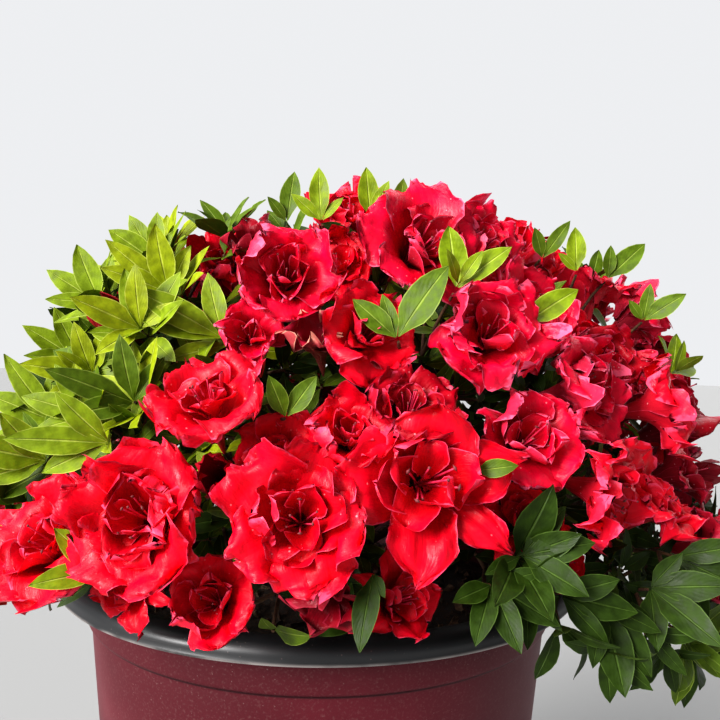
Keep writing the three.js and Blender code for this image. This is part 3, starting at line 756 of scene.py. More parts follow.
def is_clear(bearing, elevation, apart, kinds):
    place = on_dome(bearing, elevation, BLOOM_REACH)
    return not any(s.kind in kinds and (s.place - place).length < apart for s in shoots)


def in_leafy_patch(bearing, elevation):
    way = heading(bearing, elevation)
    return any(way.angle(heading(b, e)) < math.radians(across) for b, e, across in LEAFY_PATCHES)


def in_blossom(shoot):
    """Whether a shoot stands in the closed blossom of the front and the top."""
    in_front = 236 < shoot.bearing < 345 or shoot.elevation > 58
    above_leaves = shoot.elevation > (9 if 285 < shoot.bearing < 345 else 4)
    return in_front and above_leaves and not in_leafy_patch(shoot.bearing, shoot.elevation - 8)


def over_bare_rim(shoot):
    return shoot.elevation < 7 and 195 < shoot.bearing < 288


def smooth_step(low, high, value):
    share = min(1.0, max(0.0, (value - low) / (high - low)))
    return share * share * (3 - 2 * share)


for kind, places in {"bloom": FRONT_BLOOMS, "faded": FADED_BLOOMS, "bud": BUDS}.items():
    for bearing, elevation, size in places:
        add_shoot(kind, bearing, elevation, size)
for bearing, elevation in FRONT_SPRAYS:
    add_shoot("spray", bearing, elevation, LEAF_LENGTH)
listed = len(shoots)
for bearing, elevation in dealt(FILL_BLOOMS, FILL_BLOOMS_FROM):
    free = is_clear(bearing, elevation, BLOOMS_APART, OPEN) and not in_leafy_patch(bearing, elevation)
    if free and is_clear(bearing, elevation, 0.6 * BLOOMS_APART, OTHERS):
        add_shoot("bloom", bearing, elevation, 44 + 12 * seeded(500 + len(shoots))())
for bearing, elevation in dealt(FILL_SPRAYS, FILL_SPRAYS_FROM):
    if is_clear(bearing, elevation, SPRAYS_APART, OPEN + OTHERS):
        add_shoot("spray", bearing, elevation, LEAF_LENGTH)

# No leafy shoot but the listed ones stands in the blossom, and smaller blooms fill its gaps, a little deeper.
shoots = [
    s for s in shoots if s.number < listed or s.kind != "spray" or not (in_blossom(s) or over_bare_rim(s))
]
for bearing, elevation in dealt(GAP_BLOOMS, GAP_BLOOMS_FROM):
    leafy = in_leafy_patch(bearing, elevation) and not (elevation > 5 and 290 < bearing < 345)
    low = elevation < (1 if 215 < bearing < 285 else 3)
    free = not low and not leafy and is_clear(bearing, elevation, GAP_BLOOMS_APART, OPEN)
    if free and is_clear(bearing, elevation, GAP_SPRAYS_APART, OTHERS):
        shoot = add_shoot("bloom", bearing, elevation, 38 + 8 * seeded(1500 + len(shoots))())
        shoot.way = (shoot.way + tossed(shoot.random) * 0.9).normalized()
        shoot.place -= heading(bearing, elevation) * GAP_DEPTH

# The crown's top is a little flattened, and the blooms up there turn towards the light in front.
for shoot in shoots:
    if shoot.elevation > 50:
        shoot.place -= UP * 9 * smooth_step(50, 66, shoot.elevation)
    if shoot.kind == "bloom" and shoot.elevation > 28 and 220 < shoot.bearing < 325:
        shoot.way = (shoot.way + Vector((-0.05, -0.6, 0))).normalized()

# No two listed blooms look quite the same way. The second opens upwards, and shows the front only the edge
# of its funnel. The fifth looks straight to the front, with its narrow lobes spread like a star.
for shoot in shoots[:len(FRONT_BLOOMS)]:
    shoot.way = (shoot.way + tossed(seeded(1900 + shoot.number)) * 0.75).normalized()
shoots[1].way = Vector((-0.15, -0.62, 0.78)).normalized()
STAR, STAR_FORM = shoots[4], 8
STAR.way, STAR.roll = Vector((0.08, -0.97, 0.2)).normalized(), 0

# Some leafy shoots, listed by number, hold their leaves like a fan towards the front. Each stands so much
# higher, and each of its leaves has a bearing as seen from there, counted from the right, and a share of a
# full length.
FANS = {
    38: (0, [(172, 0.95), (112, 0.8), (80, 0.7), (208, 0.7), (148, 0.6)]),
    39: (0, [(142, 1.15), (163, 1.0), (101, 1.0), (66, 0.75), (44, 0.6), (184, 0.7)]),
    40: (0, [(104, 0.9), (158, 1.15), (60, 0.7), (190, 0.8)]),
    41: (-8, [(157, 1.35), (172, 1.15), (108, 0.95), (60, 0.5)]),
    42: (0, [(150, 1.1), (120, 1.0), (90, 0.8), (180, 0.9)]),
    43: (0, [(128, 1.25), (160, 1.1), (95, 0.8), (200, 0.9)]),
    44: (0, [(98, 0.85), (158, 0.95), (38, 0.6), (215, 0.7)]),
    45: (2, [(176, 1.15), (134, 0.85), (205, 0.8)]),
    162: (0, [(165, 1.1), (130, 0.9), (195, 0.9)]),
    169: (0, [(168, 0.95), (130, 0.85), (200, 0.75), (95, 0.6)]),
    184: (0, [(150, 1.0), (115, 1.0), (80, 0.8), (180, 0.8)]),
    188: (0, [(125, 0.9), (95, 0.8), (150, 0.9), (60, 0.6)]),
    46: (0, [(84, 0.78), (132, 0.45)]),
    47: (0, [(96, 0.8), (140, 0.6), (48, 0.45)]),
    48: (0, [(98, 0.78), (68, 0.62)]),
    49: (0, [(86, 0.66), (114, 0.5), (58, 0.5)]),
    50: (0, [(62, 0.7), (112, 0.5)]),
    51: (4, [(94, 0.7), (140, 0.4)]),
    52: (6, [(44, 0.85), (86, 0.55)]),
    53: (8, [(82, 0.6), (34, 0.75), (128, 0.4)]),
    54: (3, [(350, 0.9), (312, 0.75), (22, 0.7), (200, 0.5)]),
    55: (4, [(314, 1.05), (2, 0.95), (268, 0.8), (48, 0.6)]),
    56: (6, [(284, 0.8), (326, 0.85), (14, 0.6), (244, 0.75), (200, 0.6)]),
    57: (21, [(264, 0.85), (300, 0.3)]),
    58: (15, [(276, 1.05), (250, 0.75), (300, 0.95), (335, 0.7)]),
    59: (0, [(20, 0.9), (340, 0.95), (62, 0.7), (296, 0.85)]),
    60: (0, [(8, 0.85), (322, 0.85), (78, 0.8), (46, 0.8), (205, 0.55)]),
    61: (-9, [(57, 1.1), (112, 0.6), (142, 0.75)]),
    62: (-4, [(34, 0.85), (148, 0.55), (336, 0.5)]),
    63: (-8, [(58, 0.6), (118, 0.55)]),
    64: (-3, [(12, 0.5)]),
    65: (2, [(140, 0.75), (190, 0.8)]),
}
for shoot in shoots:
    if shoot.number in FANS:
        lean = Vector((shoot.random() - 0.5, 0, shoot.random() - 0.5)) * 0.5
        shoot.outward = shoot.way
        shoot.way, shoot.roll = (Vector((0, -0.97, 0.24)) + lean).normalized(), 0
        shoot.place += UP * FANS[shoot.number][0]

# The listed leafy shoots among the blooms stand a little clear of the petals.
for shoot in shoots:
    if shoot.kind == "spray" and shoot.number < listed and in_blossom(shoot):
        shoot.place += shoot.way * 8

# A bloom that would crowd an earlier one sits deeper in the crown and stays a little smaller.
heads = [shoot for shoot in shoots if shoot.kind != "spray"]
open_blooms = [shoot for shoot in heads if shoot.kind == "bloom"]
for number, shoot in enumerate(heads):
    laps = [(shoot.size + other.size) / 2 - (shoot.place - other.place).length for other in heads[:number]]
    crowding = max(laps, default=0)
    if crowding > 4:
        shoot.place -= shoot.way * min(18, crowding * 0.9)
        shoot.size *= max(0.8, 1 - crowding / 100)
STAR.size = 63
STAR.place += STAR.way * 4 + Vector((1, 0, 4))


# Twigs
# Fine woody twigs fan out from the heart of each mass to its shoots, and short side twigs branch from them
# inside the crown. They are brown where old, and reddish green where new.
TWIG_FOOT, TWIG_TIP, NECK = 1.7, 1.0, 4
OLD_BARK = (0.04, 0.018, 0.013, 1), (0.13, 0.07, 0.045, 1)
NEW_BARK = (0.06, 0.018, 0.012, 1), (0.13, 0.07, 0.025, 1)
twig_lines = [
    (bent(mass.tip, mass.heart, mass.heart, mass.core, 4), BOUGH_TIP, TWIG_FOOT, 0) for mass in masses
]
whorls = []


def add_side_twig(shoot, number, root, random):
    """A short twig with a whorl of its own, unless it would stand in the rim of the pot."""
    aside = facing(shoot.way, shoot.roll + 2.4 * number) @ Vector((1, 0, 0.55 + 0.3 * random()))
    tip = root + aside.normalized() * (13 + 9 * random())
    if tip.z >= POT_HEIGHT + 6 or math.hypot(tip.x, tip.y) >= RIM_RADIUS + 4:
        twig_lines.append(([root, root.lerp(tip, 0.5) + UP * 1.0, tip], 1.0, 0.7, 1))
        whorls.append((tip, (aside + shoot.way * 0.6).normalized(), 6.28 * random(), 0.8, "side", shoot))


for shoot in shoots:
    mass, random = shoot.mass, seeded(2000 + shoot.number)
    foot = mass.heart.lerp(mass.core, 0.6)
    end = shoot.place - shoot.way * (NECK if shoot.kind == "spray" else BLOOM_DEPTH * shoot.size)
    span = (end - foot).length
    out = foot.lerp(end, 0.35) + tossed(random) * 0.16 * span
    line = bent(foot, out, end - shoot.way * 0.3 * span, end, 6)
    twig_lines += [(line[:4], TWIG_FOOT, TWIG_TIP, 0), (line[3:], TWIG_TIP, 0.6, 1)]
    if shoot.kind == "spray":
        whorls.append((shoot.place, shoot.way, shoot.roll, 1.0, "end", shoot))
        if shoot.outward is not None and not in_blossom(shoot) and shoot.elevation > 6:
            whorls.append((shoot.place - shoot.outward * 5, shoot.outward, 0, 0.95, "under", shoot))
    else:
        whorls.append((end + shoot.way * 3, shoot.way, shoot.roll, 1.0, "collar", shoot))
    for number, step in enumerate((2, 3) if in_blossom(shoot) or over_bare_rim(shoot) else (3, 4, 5)):
        add_side_twig(shoot, number, line[step], random)


def branch_tree():
    """Round twigs along lines, as thick as each point of the line says."""
    tree, given = growth_tree("Branching twigs", {"Sides": "Int"}, 2)
    lines = node(tree, "GeometryNodeMeshToCurve", {"Mesh": given["Geometry"]})[0]
    ring = node(tree, "GeometryNodeCurvePrimitiveCircle", {"Resolution": given["Sides"], "Radius": 1.0})[0]
    links = {"Curve": lines, "Profile Curve": ring, "Fill Caps": True}
    links["Scale"] = named(tree, "thickness", "FLOAT")
    tubes = node(tree, "GeometryNodeCurveToMesh", links)[0]
    smooth = node(tree, "GeometryNodeSetShadeSmooth", {"Geometry": tubes})[0]
    return painted(smooth, given, 2)


def twig_mesh():
    points, edges, thickness, tints = [], [], [], []
    for line, foot, tip, tint in twig_lines:
        edges += [(len(points) + step, len(points) + step + 1) for step in range(len(line) - 1)]
        thickness += [(foot + (tip - foot) * step / (len(line) - 1)) * MM for step in range(len(line))]
        tints += [tint] * len(line)
        points += [point * MM for point in line]
    mesh = plain_mesh("twig_lines", points, [], edges)
    mark(mesh, "thickness", "FLOAT", "POINT", thickness)
    mark(mesh, "tint", "INT", "POINT", tints)
    return mesh


twig_finishes = [bark_finish("old twig bark", *OLD_BARK, 2.0), bark_finish("new twig bark", *NEW_BARK, 2.0)]
foliage_nodes = {tier: [f"foliage_{mass.name}" for mass in masses if mass.tier == tier] for tier in TIERS}
all_foliage = [name for names in foliage_nodes.values() for name in names]
show("twigs", grown("twig_lines", twig_mesh(), branch_tree(), twig_finishes, Sides=6), all_foliage)


# Leaves
# Small pointed leaves stand in whorls at the ends of the shoots, under the blooms and along the inner twigs.
# They are folded a little at the midrib. Light coming through them is painted yellow-green, and shade is
# painted deep green.
REAL_LEAF_LENGTH = 29.5
LEAF_ROWS, LEAF_COLUMNS = 8, 5
PLUMP_LEAVES, SLENDER_LEAVES = 8, 2
SUNLIT, FRESH, MIDDLE, SHADED = range(4)
# The sunlit green is painted light coming through the leaves, and the shaded green is painted shade.
LEAF_GREENS = {
    "sunlit leaf": ((0.27, 0.330, 0.004, 1), (0.48, 0.54, 0.08, 1)),
    "fresh leaf": ((0.185, 0.260, 0.005, 1), (0.40, 0.48, 0.08, 1)),
    "mid leaf": ((0.085, 0.140, 0.005, 1), (0.25, 0.33, 0.055, 1)),
    "shaded leaf": ((0.023, 0.047, 0.003, 1), (0.070, 0.12, 0.02, 1)),
}
LEAF_UNDER = (0.12, 0.19, 0.035, 1)
LIGHT_FROM, LIT_DEPTH = Vector((-0.45, -0.75, 0.5)), 40
BLACK = (0, 0, 0, 1)


def flat_map(group, name):
    """The place across and along a sheet, and how far it is from the middle line."""
    flat = parts_of(node(group, "ShaderNodeUVMap", uv_map=name)[0])
    return flat["X"], flat["Y"], apart(flat["X"], 0.5)


def toned(value, colour):
    """A colour made darker or lighter by a value."""
    return node(value.id_data, "ShaderNodeHueSaturation", {"Color": colour, "Value": value})[0]


def leaf_group():
    """A leaf's skin: pale midrib, a margin partly pale and partly painted highlight, side veins running
    forwards, a faint mottle.
    """
    group, given, place = shader_group("Leaf skin", Blade=BLACK, Rib=BLACK)
    _, along, aside = flat_map(group, "leaf_uv")
    rib, margin = ranged(aside, 0.05, 0.012), ranged(aside, 0.455, 0.485)
    veins = worked("SINE", worked("SUBTRACT", times(along, 52.0), times(aside, 46.0)))
    mottle = clouds(place, 240.0, 6.0)
    # The margin's lightness is partly its own paler colour and partly a painted highlight on its hairs.
    light = plus(plus(times(rib, 0.75), times(margin, 0.9)), ranged(veins, 0.75, 1.0, 0.0, 0.015))
    colour = toned(ranged(mottle, 0.3, 0.7, 0.72, 1.22), blended(light, given["Blade"], given["Rib"]))
    height = plus(worked("SUBTRACT", times(veins, 0.02), times(rib, 0.8)), times(mottle, 0.5))
    return ended(group, Colour=colour, Roughness=ranged(mottle, 0.3, 0.7, 0.42, 0.6), Height=height)


leaf_skin = leaf_group()


def leaf_finish(name, blade, rib):
    material, tree = begun(name)
    skin = used(tree, leaf_skin, Blade=blade, Rib=rib)
    # Undersides are paler, partly their own paler green and partly painted light shining through.
    under = times(node(tree, "ShaderNodeNewGeometry")["Backfacing"], 0.4)
    colour = blended(under, skin["Colour"], LEAF_UNDER)
    return finished(material, colour, skin["Roughness"], skin["Height"], 0.0007, 0.7, 0.18)


def sheet_mesh(name, patches, uv_name):
    """One open mesh from patches, each a grid of points with its place along and across as its map."""
    parts, flat = [], []
    for grid in patches:
        rows, columns = len(grid), len(grid[0])
        for row in range(rows):
            flat += [(column / (columns - 1), row / (rows - 1)) for column in range(columns)]
        corners = [row * columns + column for row in range(rows - 1) for column in range(columns - 1)]
        faces = [(corner, corner + columns, corner + columns + 1, corner + 1) for corner in corners]
        parts.append(([point for row in grid for point in row], faces))
    mesh = plain_mesh(name, *joined(parts))
    layer = mesh.uv_layers.new(name=uv_name)
    for loop in mesh.loops:
        layer.data[loop.index].uv = flat[loop.vertex_index]
    return mesh


def leaf_pattern(number):
    """A leaf of length 1 along local X, its upper side towards local Z."""
    random = seeded(300 + number)
    curl = 0.14 * random()
    fold = 0.06 + 0.2 * random()
    twist = 0.8 * (random() - 0.5)
    wave = 0.008 + 0.014 * random()
    plump = 0.15 if number >= PLUMP_LEAVES else 0.165 + 0.055 * random()
    grid = []
    for row in range(LEAF_ROWS):
        t = row / (LEAF_ROWS - 1)
        half = plump * math.sin(math.pi * t ** 0.93) ** 0.8 if 0 < t < 1 else 0.003
        half = half * min(1, 0.35 + 2.4 * t) + 0.006 * (1 - t)
        cos, sin = math.cos(twist * (t - 0.3)), math.sin(twist * (t - 0.3))
        line = []
        for column in range(LEAF_COLUMNS):
            s = 2 * column / (LEAF_COLUMNS - 1) - 1
            y, z = s * half, fold * abs(s) * half + wave * math.sin(9 * t + 2.5 * s + number) * abs(s)
            y, z = y * cos - z * sin, y * sin + z * cos
            line.append(Vector((t - 0.15 * curl * t * t, y, z - curl * t ** 3)))
        grid.append(line)
    return sheet_mesh("leaf", [grid], "leaf_uv")


def in_a_bloom(point, spare):
    """Whether a point lies among the petals of an open bloom, or closer over them than the spare share."""
    for shoot in open_blooms:
        offset = point - shoot.place
        if offset.length < 0.55 * shoot.size:
            rise = offset.dot(shoot.way)
            aside = (offset - shoot.way * rise).length
            if -0.2 * shoot.size < rise < spare * shoot.size and aside < 0.5 * shoot.size:
                return True
    return False


def leaf_ring(random, count, step, first, toss, spread, wider, size, more, along):
    """Leaves at even steps round a shoot: each one's bearing, spread and size, and how far on its root is."""
    return [
        (step * number + first + toss * random(), spread + wider * random(), size + more * random(), along)
        for number in range(count)
    ]


def at_left(shoot):
    return 185 < shoot.bearing < 252


def end_leaves(shoot, random):
    """The whorl at a shoot's end: five outer leaves, and young ones inside them."""
    leaves = []
    for number in range(5):
        step = 72 * number + 16 * (shoot.random() - 0.5)
        lean = 0.5 * shoot.random() + (0.5 if number % 2 == 0 else 0)
        leaves.append((step, LEAF_STEEP + (LEAF_WIDE - LEAF_STEEP) * lean, 0.85 + 0.3 * shoot.random(), 0))
    if in_blossom(shoot) or over_bare_rim(shoot):
        upright, kept = 38 if shoot.elevation > 50 else 8, 3 if shoot.elevation > 10 else 2
        leaves = [(step, spread - upright, size * 0.84, 0) for step, spread, size, _ in leaves[:kept]]
        young = [(100 + 90 * i, 25 + 15 * random(), 0.45 + 0.2 * random(), 2) for i in range(kept - 1)]
        return leaves + young
    if at_left(shoot):
        longer = 0.5 if shoot.elevation < 34 else 0
        leaves = [(step, lean - 10, size * (0.85 + longer * random()), 0) for step, lean, size, _ in leaves]
    leaves += leaf_ring(random, 4, 72, 36, 20, 20, 20, 0.5, 0.25, 2)
    return leaves + leaf_ring(random, 2, 120, 0, 40, 74, 18, 0.8, 0.3, -9)


def whorl_leaves(shoot, part, random):
    if part == "collar":
        return leaf_ring(random, 3 if in_blossom(shoot) else 4, 90, 0, 30, 88, 25, 0.55, 0.25, -2)
    if part == "under":
        return leaf_ring(random, 7, 52, 0, 25, 40, 45, 0.75, 0.35, 0)
    if part == "side":
        return leaf_ring(random, 4, 90, 0, 40, 35, 45, 0.65, 0.3, 0)
    if shoot.number in FANS:
        return [(step, 62 + 14 * random(), size, 0) for step, size in FANS[shoot.number][1]]
    return end_leaves(shoot, random)


def in_sun(shoot):
    return at_left(shoot) and shoot.elevation > 10


def leaf_green(shoot, part, chance):
    """The whorl's green: painted light to the left where the sky shines through, painted shade low on the
    right.
    """
    green = FRESH if chance < 0.35 else MIDDLE
    if in_sun(shoot):
        green = SUNLIT if chance < 0.3 else FRESH if chance < 0.75 else MIDDLE
    if 262 < shoot.bearing < 345 and shoot.elevation < 14:
        green = SHADED if chance < 0.85 else MIDDLE
    # Leaves inside the crown and some collar leaves under the blooms are a step darker: painted shade.
    inner = part == "side" or part == "collar" and chance > 0.5
    return min(SHADED, green + 1) if inner else green


def over_pot(tip, fan):
    """Whether a leaf's tip would lie in the rim, or hang over the bare front of the rim."""
    in_rim = math.hypot(tip.x, tip.y) < RIM_RADIUS + 2 and tip.z < POT_HEIGHT + 2
    low = tip.z < POT_HEIGHT + 8 and not fan
    return in_rim or low and 190 < math.degrees(math.atan2(tip.y, tip.x)) % 360 < 288


def leaf_places():
    """Every leaf as its tier, place, turn, length in metres, pattern and green."""
    places = []
    for middle, way, rolled, share, part, shoot in whorls:
        random = seeded(5000 + len(places))
        leaves = whorl_leaves(shoot, part, random)
        green = leaf_green(shoot, part, random())
        turn_to, fan, at_end = facing(way, rolled), shoot.number in FANS, part == "end"
        spare = -1 if at_end and over_bare_rim(shoot) else 0.04 if at_end and fan else 0.16
        for step, spread, size, along in leaves:
            lean, around = math.radians(spread), Matrix.Rotation(math.radians(step), 3, "Z")
            out = turn_to @ around @ Vector((math.sin(lean), 0, math.cos(lean)))
            top = turn_to @ around @ Vector((-math.cos(lean), 0, math.sin(lean)))
            if at_end and middle.y < LIT_DEPTH:
                top = top + LIGHT_FROM * 0.9
                top = (top - out * top.dot(out)).normalized()
            root = middle + way * (along - 1) + out * 0.8
            length = REAL_LEAF_LENGTH * size * share
            hidden = any(in_a_bloom(root + out * length * part_way, spare) for part_way in (0.4, 0.7, 1.0))
            if hidden or over_pot(root + out * length, fan):
                continue
            slender = size > 1.12 and in_sun(shoot)
            pick = PLUMP_LEAVES + int(SLENDER_LEAVES * random()) if slender else int(PLUMP_LEAVES * random())
            turn_leaf = Matrix((out, top.cross(out), top)).transposed().to_euler()
            places.append((shoot.mass.tier, root * MM, turn_leaf, length * MM, pick, green))
    return places


def setting_tree(finishes):
    """Patterns set on points: each point picks one and gives its turn and size."""
    tree, given = growth_tree(f"Set on shoots in {finishes} finishes", {"Patterns": "Collection"}, finishes)
    rotation = node(tree, "FunctionNodeEulerToRotation", {"Euler": named(tree, "turn", "FLOAT_VECTOR")})[0]
    links = {"Points": given["Geometry"], "Instance": members(given["Patterns"]), "Pick Instance": True}
    links |= {"Instance Index": named(tree, "pick", "INT"), "Scale": named(tree, "size", "FLOAT")}
    links["Rotation"] = rotation
    return painted(node(tree, "GeometryNodeInstanceOnPoints", links)[0], given, finishes)


def set_on_shoots(name, places, patterns, finishes):
    """A mesh of the patterns at the places, each a point, a turn, a size, a pattern and perhaps a tint."""
    points, turns, *rest = zip(*places)
    mesh = plain_mesh(name, points, [])
    turns = [angle for turn_to in turns for angle in turn_to]
    mesh.attributes.new("turn", "FLOAT_VECTOR", "POINT").data.foreach_set("vector", turns)
    for (label, kind), values in zip((("size", "FLOAT"), ("pick", "INT"), ("tint", "INT")), rest):
        mark(mesh, label, kind, "POINT", values)
    return grown(name, mesh, setting_tree(len(finishes)), finishes, Patterns=patterns)


leaf_finishes = [leaf_finish(name, *colours) for name, colours in LEAF_GREENS.items()]
leaf_patterns = pattern_set("leaf", [leaf_pattern(number) for number in range(PLUMP_LEAVES + SLENDER_LEAVES)])
leaf_list = leaf_places()
for tier, nodes in foliage_nodes.items():
    places = [place[1:] for place in leaf_list if place[0] == tier]
    leaves = set_on_shoots(f"leaves_{tier}", places, leaf_patterns, leaf_finishes)
    show(f"leaves_{tier}", leaves, nodes)
discard(leaf_patterns)


# Petals
# Each bloom is a wide funnel of five broad lobes with wavy margins that lap over each other, and a ruffle of
# smaller twisted petals inside. The petals are thin and satiny, and darker along their veins. Their throats
# carry painted shade over their own deeper red, their margins a painted pinkish sheen, and their backs
# painted light shining through.
# Each red is given for throat, petal and margin. The throat colour holds painted shade and the margin colour
# a painted sheen.
PETAL_REDS = {
    "scarlet petal": ((0.54, 0.001, 0.009, 1), (0.85, 0.001, 0.023, 1), (0.93, 0.070, 0.155, 1)),
    "crimson petal": ((0.25, 0.001, 0.005, 1), (0.42, 0.001, 0.013, 1), (0.68, 0.045, 0.11, 1)),
    "rose petal": ((0.50, 0.002, 0.016, 1), (0.80, 0.002, 0.042, 1), (0.94, 0.13, 0.25, 1)),
}
SCARLET, CRIMSON, ROSE = range(3)
# The colour of painted glints of raindrops on the petals.
RAIN_GLINT = (0.92, 0.42, 0.48, 1)


def petal_group():
    """A petal's skin: deeper red and painted shade in the throat, painted sheen at the margin, fine veins,
    crinkles.
    """
    group, given, place = shader_group("Petal skin", Throat=BLACK, Petal=BLACK, Margin=BLACK, Share=0.2)
    across, along, aside = flat_map(group, "petal_uv")
    cloud, crinkle = clouds(place, 90.0, 3.0), clouds(place, 480.0, 3.0)
    uneven = ranged(crinkle, 0.3, 0.7, -0.03, 0.03)
    aside, outward = plus(aside, uneven), plus(along, times(uneven, 0.8))
    # The margin's lighter pink is a painted sheen, broad towards the tip and sides and thin along the edge.
    broad = worked("MAXIMUM", ranged(along, 0.75, 1.0), ranged(aside, 0.33, 0.5))
    broad = times(times(broad, ranged(cloud, 0.35, 0.65, 0.1, 1.0)), given["Share"])
    thin = worked("MAXIMUM", ranged(outward, 0.91, 0.965), ranged(aside, 0.405, 0.455))
    margin = worked("MAXIMUM", broad, thin)
    stretched = node(group, "ShaderNodeCombineXYZ", {"X": times(across, 34.0), "Y": times(along, 3.0)})[0]
    veins = clouds(stretched, 1.0, 2.0)
    # The throat's darker red is partly the petal's own colour and partly painted shade.
    colour = blended(ranged(along, 0.62, 0.25), given["Petal"], given["Throat"])
    tone = times(ranged(veins, 0.35, 0.65, 0.94, 1.03), ranged(cloud, 0.3, 0.7, 0.84, 1.1))
    colour = toned(tone, blended(margin, colour, given["Margin"]))
    rough, height = ranged(crinkle, 0.3, 0.7, 0.28, 0.5), plus(times(veins, 0.5), times(crinkle, 0.5))
    return ended(group, Colour=colour, Roughness=rough, Height=height)


petal_skin = petal_group()


def petal_finish(name, throat, petal, margin, share=0.2):
    material, tree = begun(name)
    skin = used(tree, petal_skin, Throat=throat, Petal=petal, Margin=margin, Share=share)
    back = node(tree, "ShaderNodeNewGeometry")["Backfacing"]
    # Small pale pink dots are painted glints of raindrops.
    drop_glints = used(tree, specks, Spacing=560, Size=0.26, Cover=0.11)["Mask"]
    # The backs of the petals are lightened towards the margin colour: painted light shining through.
    colour = blended(times(back, 0.16), skin["Colour"], margin)
    colour = blended(times(drop_glints, 0.55), colour, RAIN_GLINT)
    return finished(material, colour, skin["Roughness"], skin["Height"], 0.0009, 0.5, 0.2)


# The line down the middle of a lobe, as radius and height in widths of the bloom, when shut and wide open.
SHUT_LINE = [
    (0.012, -0.62), (0.05, -0.42), (0.09, -0.24), (0.14, -0.08), (0.19, 0.08), (0.21, 0.21), (0.18, 0.33),
]
OPEN_LINE = [
    (0.012, -0.62), (0.05, -0.40), (0.11, -0.20), (0.22, -0.07), (0.35, 0.0), (0.47, 0.01), (0.55, -0.04),
]


def line_at(opened, t):
    """The middle line's radius and height a share t of the way along, for a lobe opened so far."""
    spot = min(t * (len(OPEN_LINE) - 1), len(OPEN_LINE) - 1.001)
    number, share = int(spot), spot - int(spot)
    ends = []
    for line in (SHUT_LINE, OPEN_LINE):
        (r0, z0), (r1, z1) = line[number], line[number + 1]
        ends.append((r0 + (r1 - r0) * share, z0 + (z1 - z0) * share))
    (shut_r, shut_z), (open_r, open_z) = ends
    return Vector((shut_r + (open_r - shut_r) * opened, 0, shut_z + (open_z - shut_z) * opened))


def petal_grid(random, turn_deg, opened, wide, pointed, frill, cup, rows, columns, from_t=0.0, fine=0.0):
    """One petal as a grid from foot to tip: cupped and twisted along its length, and wavy at the margin."""
    phases = [2 * math.pi * random() for _ in range(6)]
    waves = 1.5 + 0.9 * random()
    twist = 1.1 * (random() - 0.5)
    spun = Matrix.Rotation(math.radians(turn_deg), 3, "Z")
    grid = []
    for row in range(rows):
        t = from_t + (1 - from_t) * (1 - (1 - row / (rows - 1)) ** 1.45)
        middle = line_at(opened, t)
        along = (line_at(opened, min(1, t + 0.04)) - line_at(opened, max(0, t - 0.04))).normalized()
        inward = Vector((-along.z, 0, along.x))
        free = smooth_step(max(0.34, from_t), max(0.34, from_t) + 0.32, t)
        blade = wide
        if from_t:
            blade = wide * (0.3 + 0.7 * smooth_step(0, 0.5, (t - from_t) / (1 - from_t)))
        if t > 0.68:
            blade *= math.sqrt(max(0.0, 1 - ((t - 0.68) / 0.322) ** 2))
            blade *= 1 - 0.5 * pointed * smooth_step(0.72, 1.0, t)
        half = (1 - free) * min(middle.x * 0.8, wide) + free * blade
        notches = 0.05 * math.sin(15 * t + phases[0]) + 0.05 * fine * math.sin(2.6 * row + phases[5])
        half *= 1 + notches * free
        line = []
        for column in range(columns):
            s = math.sin(0.5 * math.pi * (2 * column / (columns - 1) - 1))
            angle = s * half / max(middle.x, 0.02)
            wrapped = Vector((middle.x * math.cos(angle), middle.x * math.sin(angle), middle.z))
            at_side, at_tip = abs(s) ** 1.6, smooth_step(0.7, 1.0, t)
            at_margin = max(at_side ** 2, at_tip ** 2)
            lift = frill * at_side * math.sin(2 * math.pi * waves * t + 1.3 * s + phases[1 if s > 0 else 2])
            lift += 0.55 * frill * at_tip * math.sin(4.4 * s + phases[3])
            lift += fine * frill * at_margin * math.sin(2 * math.pi * (5.2 * t + 2.4 * s) + phases[4])
            lift += 0.024 * fine * at_margin ** 3 * math.sin(4.1 * row + 2.3 * column + phases[4])
            lift += 0.05 * noise.noise(Vector((2.6 * s, 4.2 * t, 3 * phases[5])))
            lift += cup * s * s * half - 0.022 * math.exp(-(s / 0.16) ** 2)
            offset = Matrix.Rotation(twist * (t - 0.3), 3, along) @ (Vector((0, s * half, 0)) + inward * lift)
            grown_out = middle + offset - along * 0.05 * s * s * (1 - at_tip)
            line.append(spun @ wrapped.lerp(grown_out, free))
        grid.append(line)
    return grid


# For each pattern of bloom: how far it is open, how pointed its lobes are, how frilled, how many lobes stand
# in an inner ring, and how many small twisted petals fill the throat.
BLOOM_FORMS = [
    (0.96, 0.1, 0.065, 4, 5), (0.82, 0.3, 0.080, 5, 4), (0.66, 0.7, 0.055, 0, 5), (0.90, 0.2, 0.085, 0, 8),
    (0.56, 0.9, 0.050, 0, 4), (0.86, 0.0, 0.090, 5, 5), (1.02, 0.5, 0.060, 3, 5), (0.72, 0.2, 0.095, 5, 4),
    (1.00, 1.4, 0.045, 0, 6), (0.92, 0.1, 0.075, 4, 5), (0.60, 0.4, 0.080, 3, 5), (0.86, 0.6, 0.070, 0, 7),
]
FRONT_FORMS = [5, 11, 3, 9, STAR_FORM, 3, 10, 1, 7, 2, 5, 1, 0]

# The lobes of the star: where each points, counted from the right, its half width, and how far it is open.
STAR_LOBES = [(84, 0.25, 0.66), (14, 0.17, 1.0), (-40, 0.12, 1.06), (-98, 0.19, 0.95), (172, 0.27, 0.9)]


def shifted(grid, size, by):
    return [[point * size + by for point in row] for row in grid]


